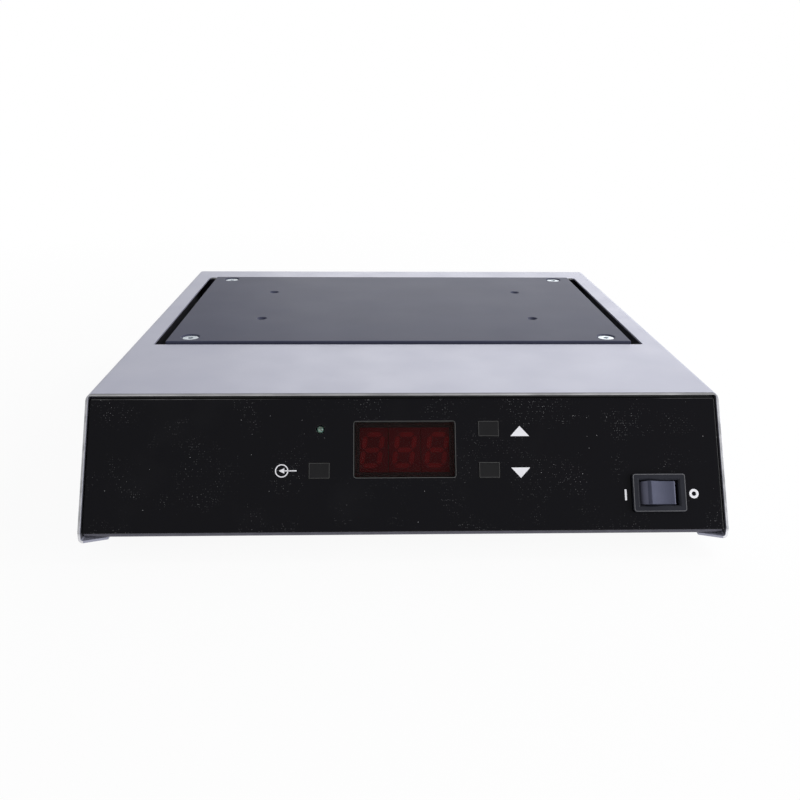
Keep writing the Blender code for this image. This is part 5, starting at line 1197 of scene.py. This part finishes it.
class MakeRear(bpy.types.Operator):
    """Mains inlet with its pins, and two sockets with hexagon nuts"""

    bl_idname = "preheater.make_rear"
    bl_label = "Rear"

    def execute(self, context):
        rear = context.scene.preheater_rear
        dressed("mains_inlet", "inlet_moulding", SOFT_EDGE, "black_plastic", segments=3)
        for pin in ("live", "neutral", "earth"):
            dressed(f"inlet_pin_{pin}", f"{pin}_blade", SMALL_EDGE, "brass")
        for node, look in (("remote_socket", "zinc"), ("bonding_socket", "brass")):
            low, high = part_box(node)
            middle = (low + high) / 2
            seat = Matrix.Translation((middle.x, high.y - rear.bush_stand, middle.z))
            socket = self.socket(rear, f"{node}_with_nut")
            moved(socket, seat @ Matrix.Rotation(-math.pi / 2, 4, "X"))
            finished(soften(socket, FINE_EDGE), look, replaces=node)
        return {"FINISHED"}

    def socket(self, rear, name):
        """A hexagon nut on a threaded bush, whose seat on the sheet is at height zero."""
        play, floor = 0.0001, 0.0024
        nut = disc("nut", (0, 0, rear.nut_height / 2), rear.nut_radius, rear.nut_height, sides=6)
        open_middle(nut, rear.nut_radius - rear.bush_radius - play)
        stand, depth = rear.bush_stand, rear.bush_depth
        bush = disc("bush", (0, 0, (stand - depth) / 2), rear.bush_radius, stand + depth, sides=32)
        pick(bush, "FACE", lambda face: face.normal.z > SAME_WAY)
        bpy.ops.mesh.inset(thickness=rear.bush_radius - rear.bore_radius)
        bpy.ops.mesh.extrude_region_move(TRANSFORM_OT_translate={"value": (0, 0, floor - depth - stand)})
        return joined([nut, close(bush)], name)


class MakeStage(bpy.types.Operator):
    """Pale floor, white backdrop, soft lamps and the camera"""

    bl_idname = "preheater.make_stage"
    bl_label = "Studio"

    def execute(self, context):
        stage = context.scene.preheater_stage
        alone(None)
        bpy.ops.mesh.primitive_plane_add(size=stage.floor_size, location=(0, 0, 0))
        floor = named("studio_floor")
        floor.data.materials.append(self.floor_finish())
        self.surround(context.scene, stage)
        for name, (place, target, width) in LAMPS.items():
            self.lamp(f"{name}_lamp", place, target, width, getattr(stage, f"{name}_power"))
        self.camera(context.scene, stage)
        return {"FINISHED"}

    def floor_finish(self):
        """Pale floor: white to the camera and in reflections, but it keeps the object's shadow."""
        floor = Finish("studio_floor", (0.86, 0.86, 0.87), 1.0)
        floor.tree.nodes.remove(floor.shader)
        matt = floor.add("ShaderNodeBsdfDiffuse")
        matt.inputs["Color"].default_value = (*floor.colour, 1.0)
        white = floor.add("ShaderNodeEmission")
        path = floor.add("ShaderNodeLightPath")
        reach = floor.add("ShaderNodeVectorMath", operation="LENGTH")
        floor.feed(reach.inputs[0], floor.place)
        fade = floor.span(reach.outputs["Value"], 0.2, 0.7, 0.93, 1.0)
        seen = floor.reckon("MAXIMUM", path.outputs["Is Camera Ray"], path.outputs["Is Glossy Ray"])
        mix = floor.add("ShaderNodeMixShader")
        floor.feed(mix.inputs[0], floor.reckon("MULTIPLY", seen, fade))
        floor.feed(mix.inputs[1], matt.outputs[0])
        floor.feed(mix.inputs[2], white.outputs[0])
        floor.feed(floor.tree.nodes["Material Output"].inputs["Surface"], mix.outputs[0])
        return floor.material

    def surround(self, scene, stage):
        """White to the camera, in reflections and through clear pieces, and dimmer as light."""
        world = scene.world or bpy.data.worlds.new("studio")
        scene.world = world
        world.use_nodes = True
        room = Nodes(world.node_tree)
        background = room.tree.nodes["Background"]
        background.inputs["Color"].default_value = (1.0, 1.0, 1.0, 1.0)
        path = room.add("ShaderNodeLightPath")
        seen = stage.surround
        for ray in ("Is Camera Ray", "Is Glossy Ray", "Is Transmission Ray"):
            seen = room.reckon("MAXIMUM", path.outputs[ray], seen)
        room.feed(background.inputs["Strength"], seen)

    def lamp(self, name, place, target, size, power):
        alone(None)
        bpy.ops.object.light_add(type="AREA", location=place)
        lamp = bpy.context.object
        lamp.name = name
        lamp.data.shape = "DISK"
        lamp.data.size = size
        lamp.data.energy = power
        aim = (Vector(target) - Vector(place)).to_track_quat("-Z", "Y")
        lamp.rotation_euler = aim.to_euler()

    def camera(self, scene, stage):
        """The camera, at the place and with the turn of the photograph's."""
        yaw, pitch, roll = stage.camera_yaw, stage.camera_pitch, stage.camera_roll
        ahead = Vector((
            math.sin(yaw) * math.cos(pitch),
            math.cos(yaw) * math.cos(pitch),
            -math.sin(pitch),
        ))
        right = Vector((math.cos(yaw), -math.sin(yaw), 0.0))
        up = right.cross(ahead)
        rolled_right = math.cos(roll) * right + math.sin(roll) * up
        rolled_up = math.cos(roll) * up - math.sin(roll) * right
        turn = Matrix((rolled_right, rolled_up, -ahead)).transposed().to_4x4()
        alone(None)
        bpy.ops.object.camera_add()
        camera = bpy.context.object
        camera.name = "photo_camera"
        camera.matrix_world = Matrix.Translation(stage.camera_place) @ turn
        camera.data.lens = stage.lens
        camera.data.sensor_width = 36.0
        camera.data.clip_start = 0.01
        scene.camera = camera
        scene.view_settings.view_transform = "Standard"


class PreheaterPanel(bpy.types.Panel):
    """Settings and buttons for each piece of the preheater"""

    bl_idname = "VIEW3D_PT_preheater"
    bl_label = "Preheater"
    bl_space_type = "VIEW_3D"
    bl_region_type = "UI"
    bl_category = "Preheater"

    def draw(self, context):
        for operator in MAKERS:
            self.layout.operator(operator.bl_idname)
        for name in SETTINGS:
            group = getattr(context.scene, name)
            box = self.layout.box()
            for setting in group.__annotations__:
                box.prop(group, setting)


SETTINGS = {
    "preheater_housing": HousingSettings,
    "preheater_front": FrontSettings,
    "preheater_plate": PlateSettings,
    "preheater_rear": RearSettings,
    "preheater_inside": InsideSettings,
    "preheater_stage": StageSettings,
}
MAKERS = (
    MakeFinishes,
    MakeHousing,
    MakeFrontPlate,
    MakeDisplay,
    MakeKeys,
    MakeSwitch,
    MakePlate,
    MakeRear,
    MakeStage,
)


def register():
    for name, group in SETTINGS.items():
        bpy.utils.register_class(group)
        setattr(bpy.types.Scene, name, PointerProperty(type=group))
    for operator in MAKERS:
        bpy.utils.register_class(operator)
    bpy.utils.register_class(PreheaterPanel)


def unregister():
    bpy.utils.unregister_class(PreheaterPanel)
    for operator in reversed(MAKERS):
        bpy.utils.unregister_class(operator)
    for name, group in reversed(SETTINGS.items()):
        delattr(bpy.types.Scene, name)
        bpy.utils.unregister_class(group)


def main():
    for old in list(bpy.data.objects):
        if old.type in ("LIGHT", "CAMERA"):
            bpy.data.objects.remove(old)
    register()
    bpy.ops.preheater.make_finishes()
    bpy.ops.preheater.make_housing()
    bpy.ops.preheater.make_front_plate()
    bpy.ops.preheater.make_display()
    bpy.ops.preheater.make_keys()
    bpy.ops.preheater.make_switch()
    bpy.ops.preheater.make_plate()
    bpy.ops.preheater.make_rear()
    bpy.ops.preheater.make_stage()


if __name__ == "__main__":
    main()
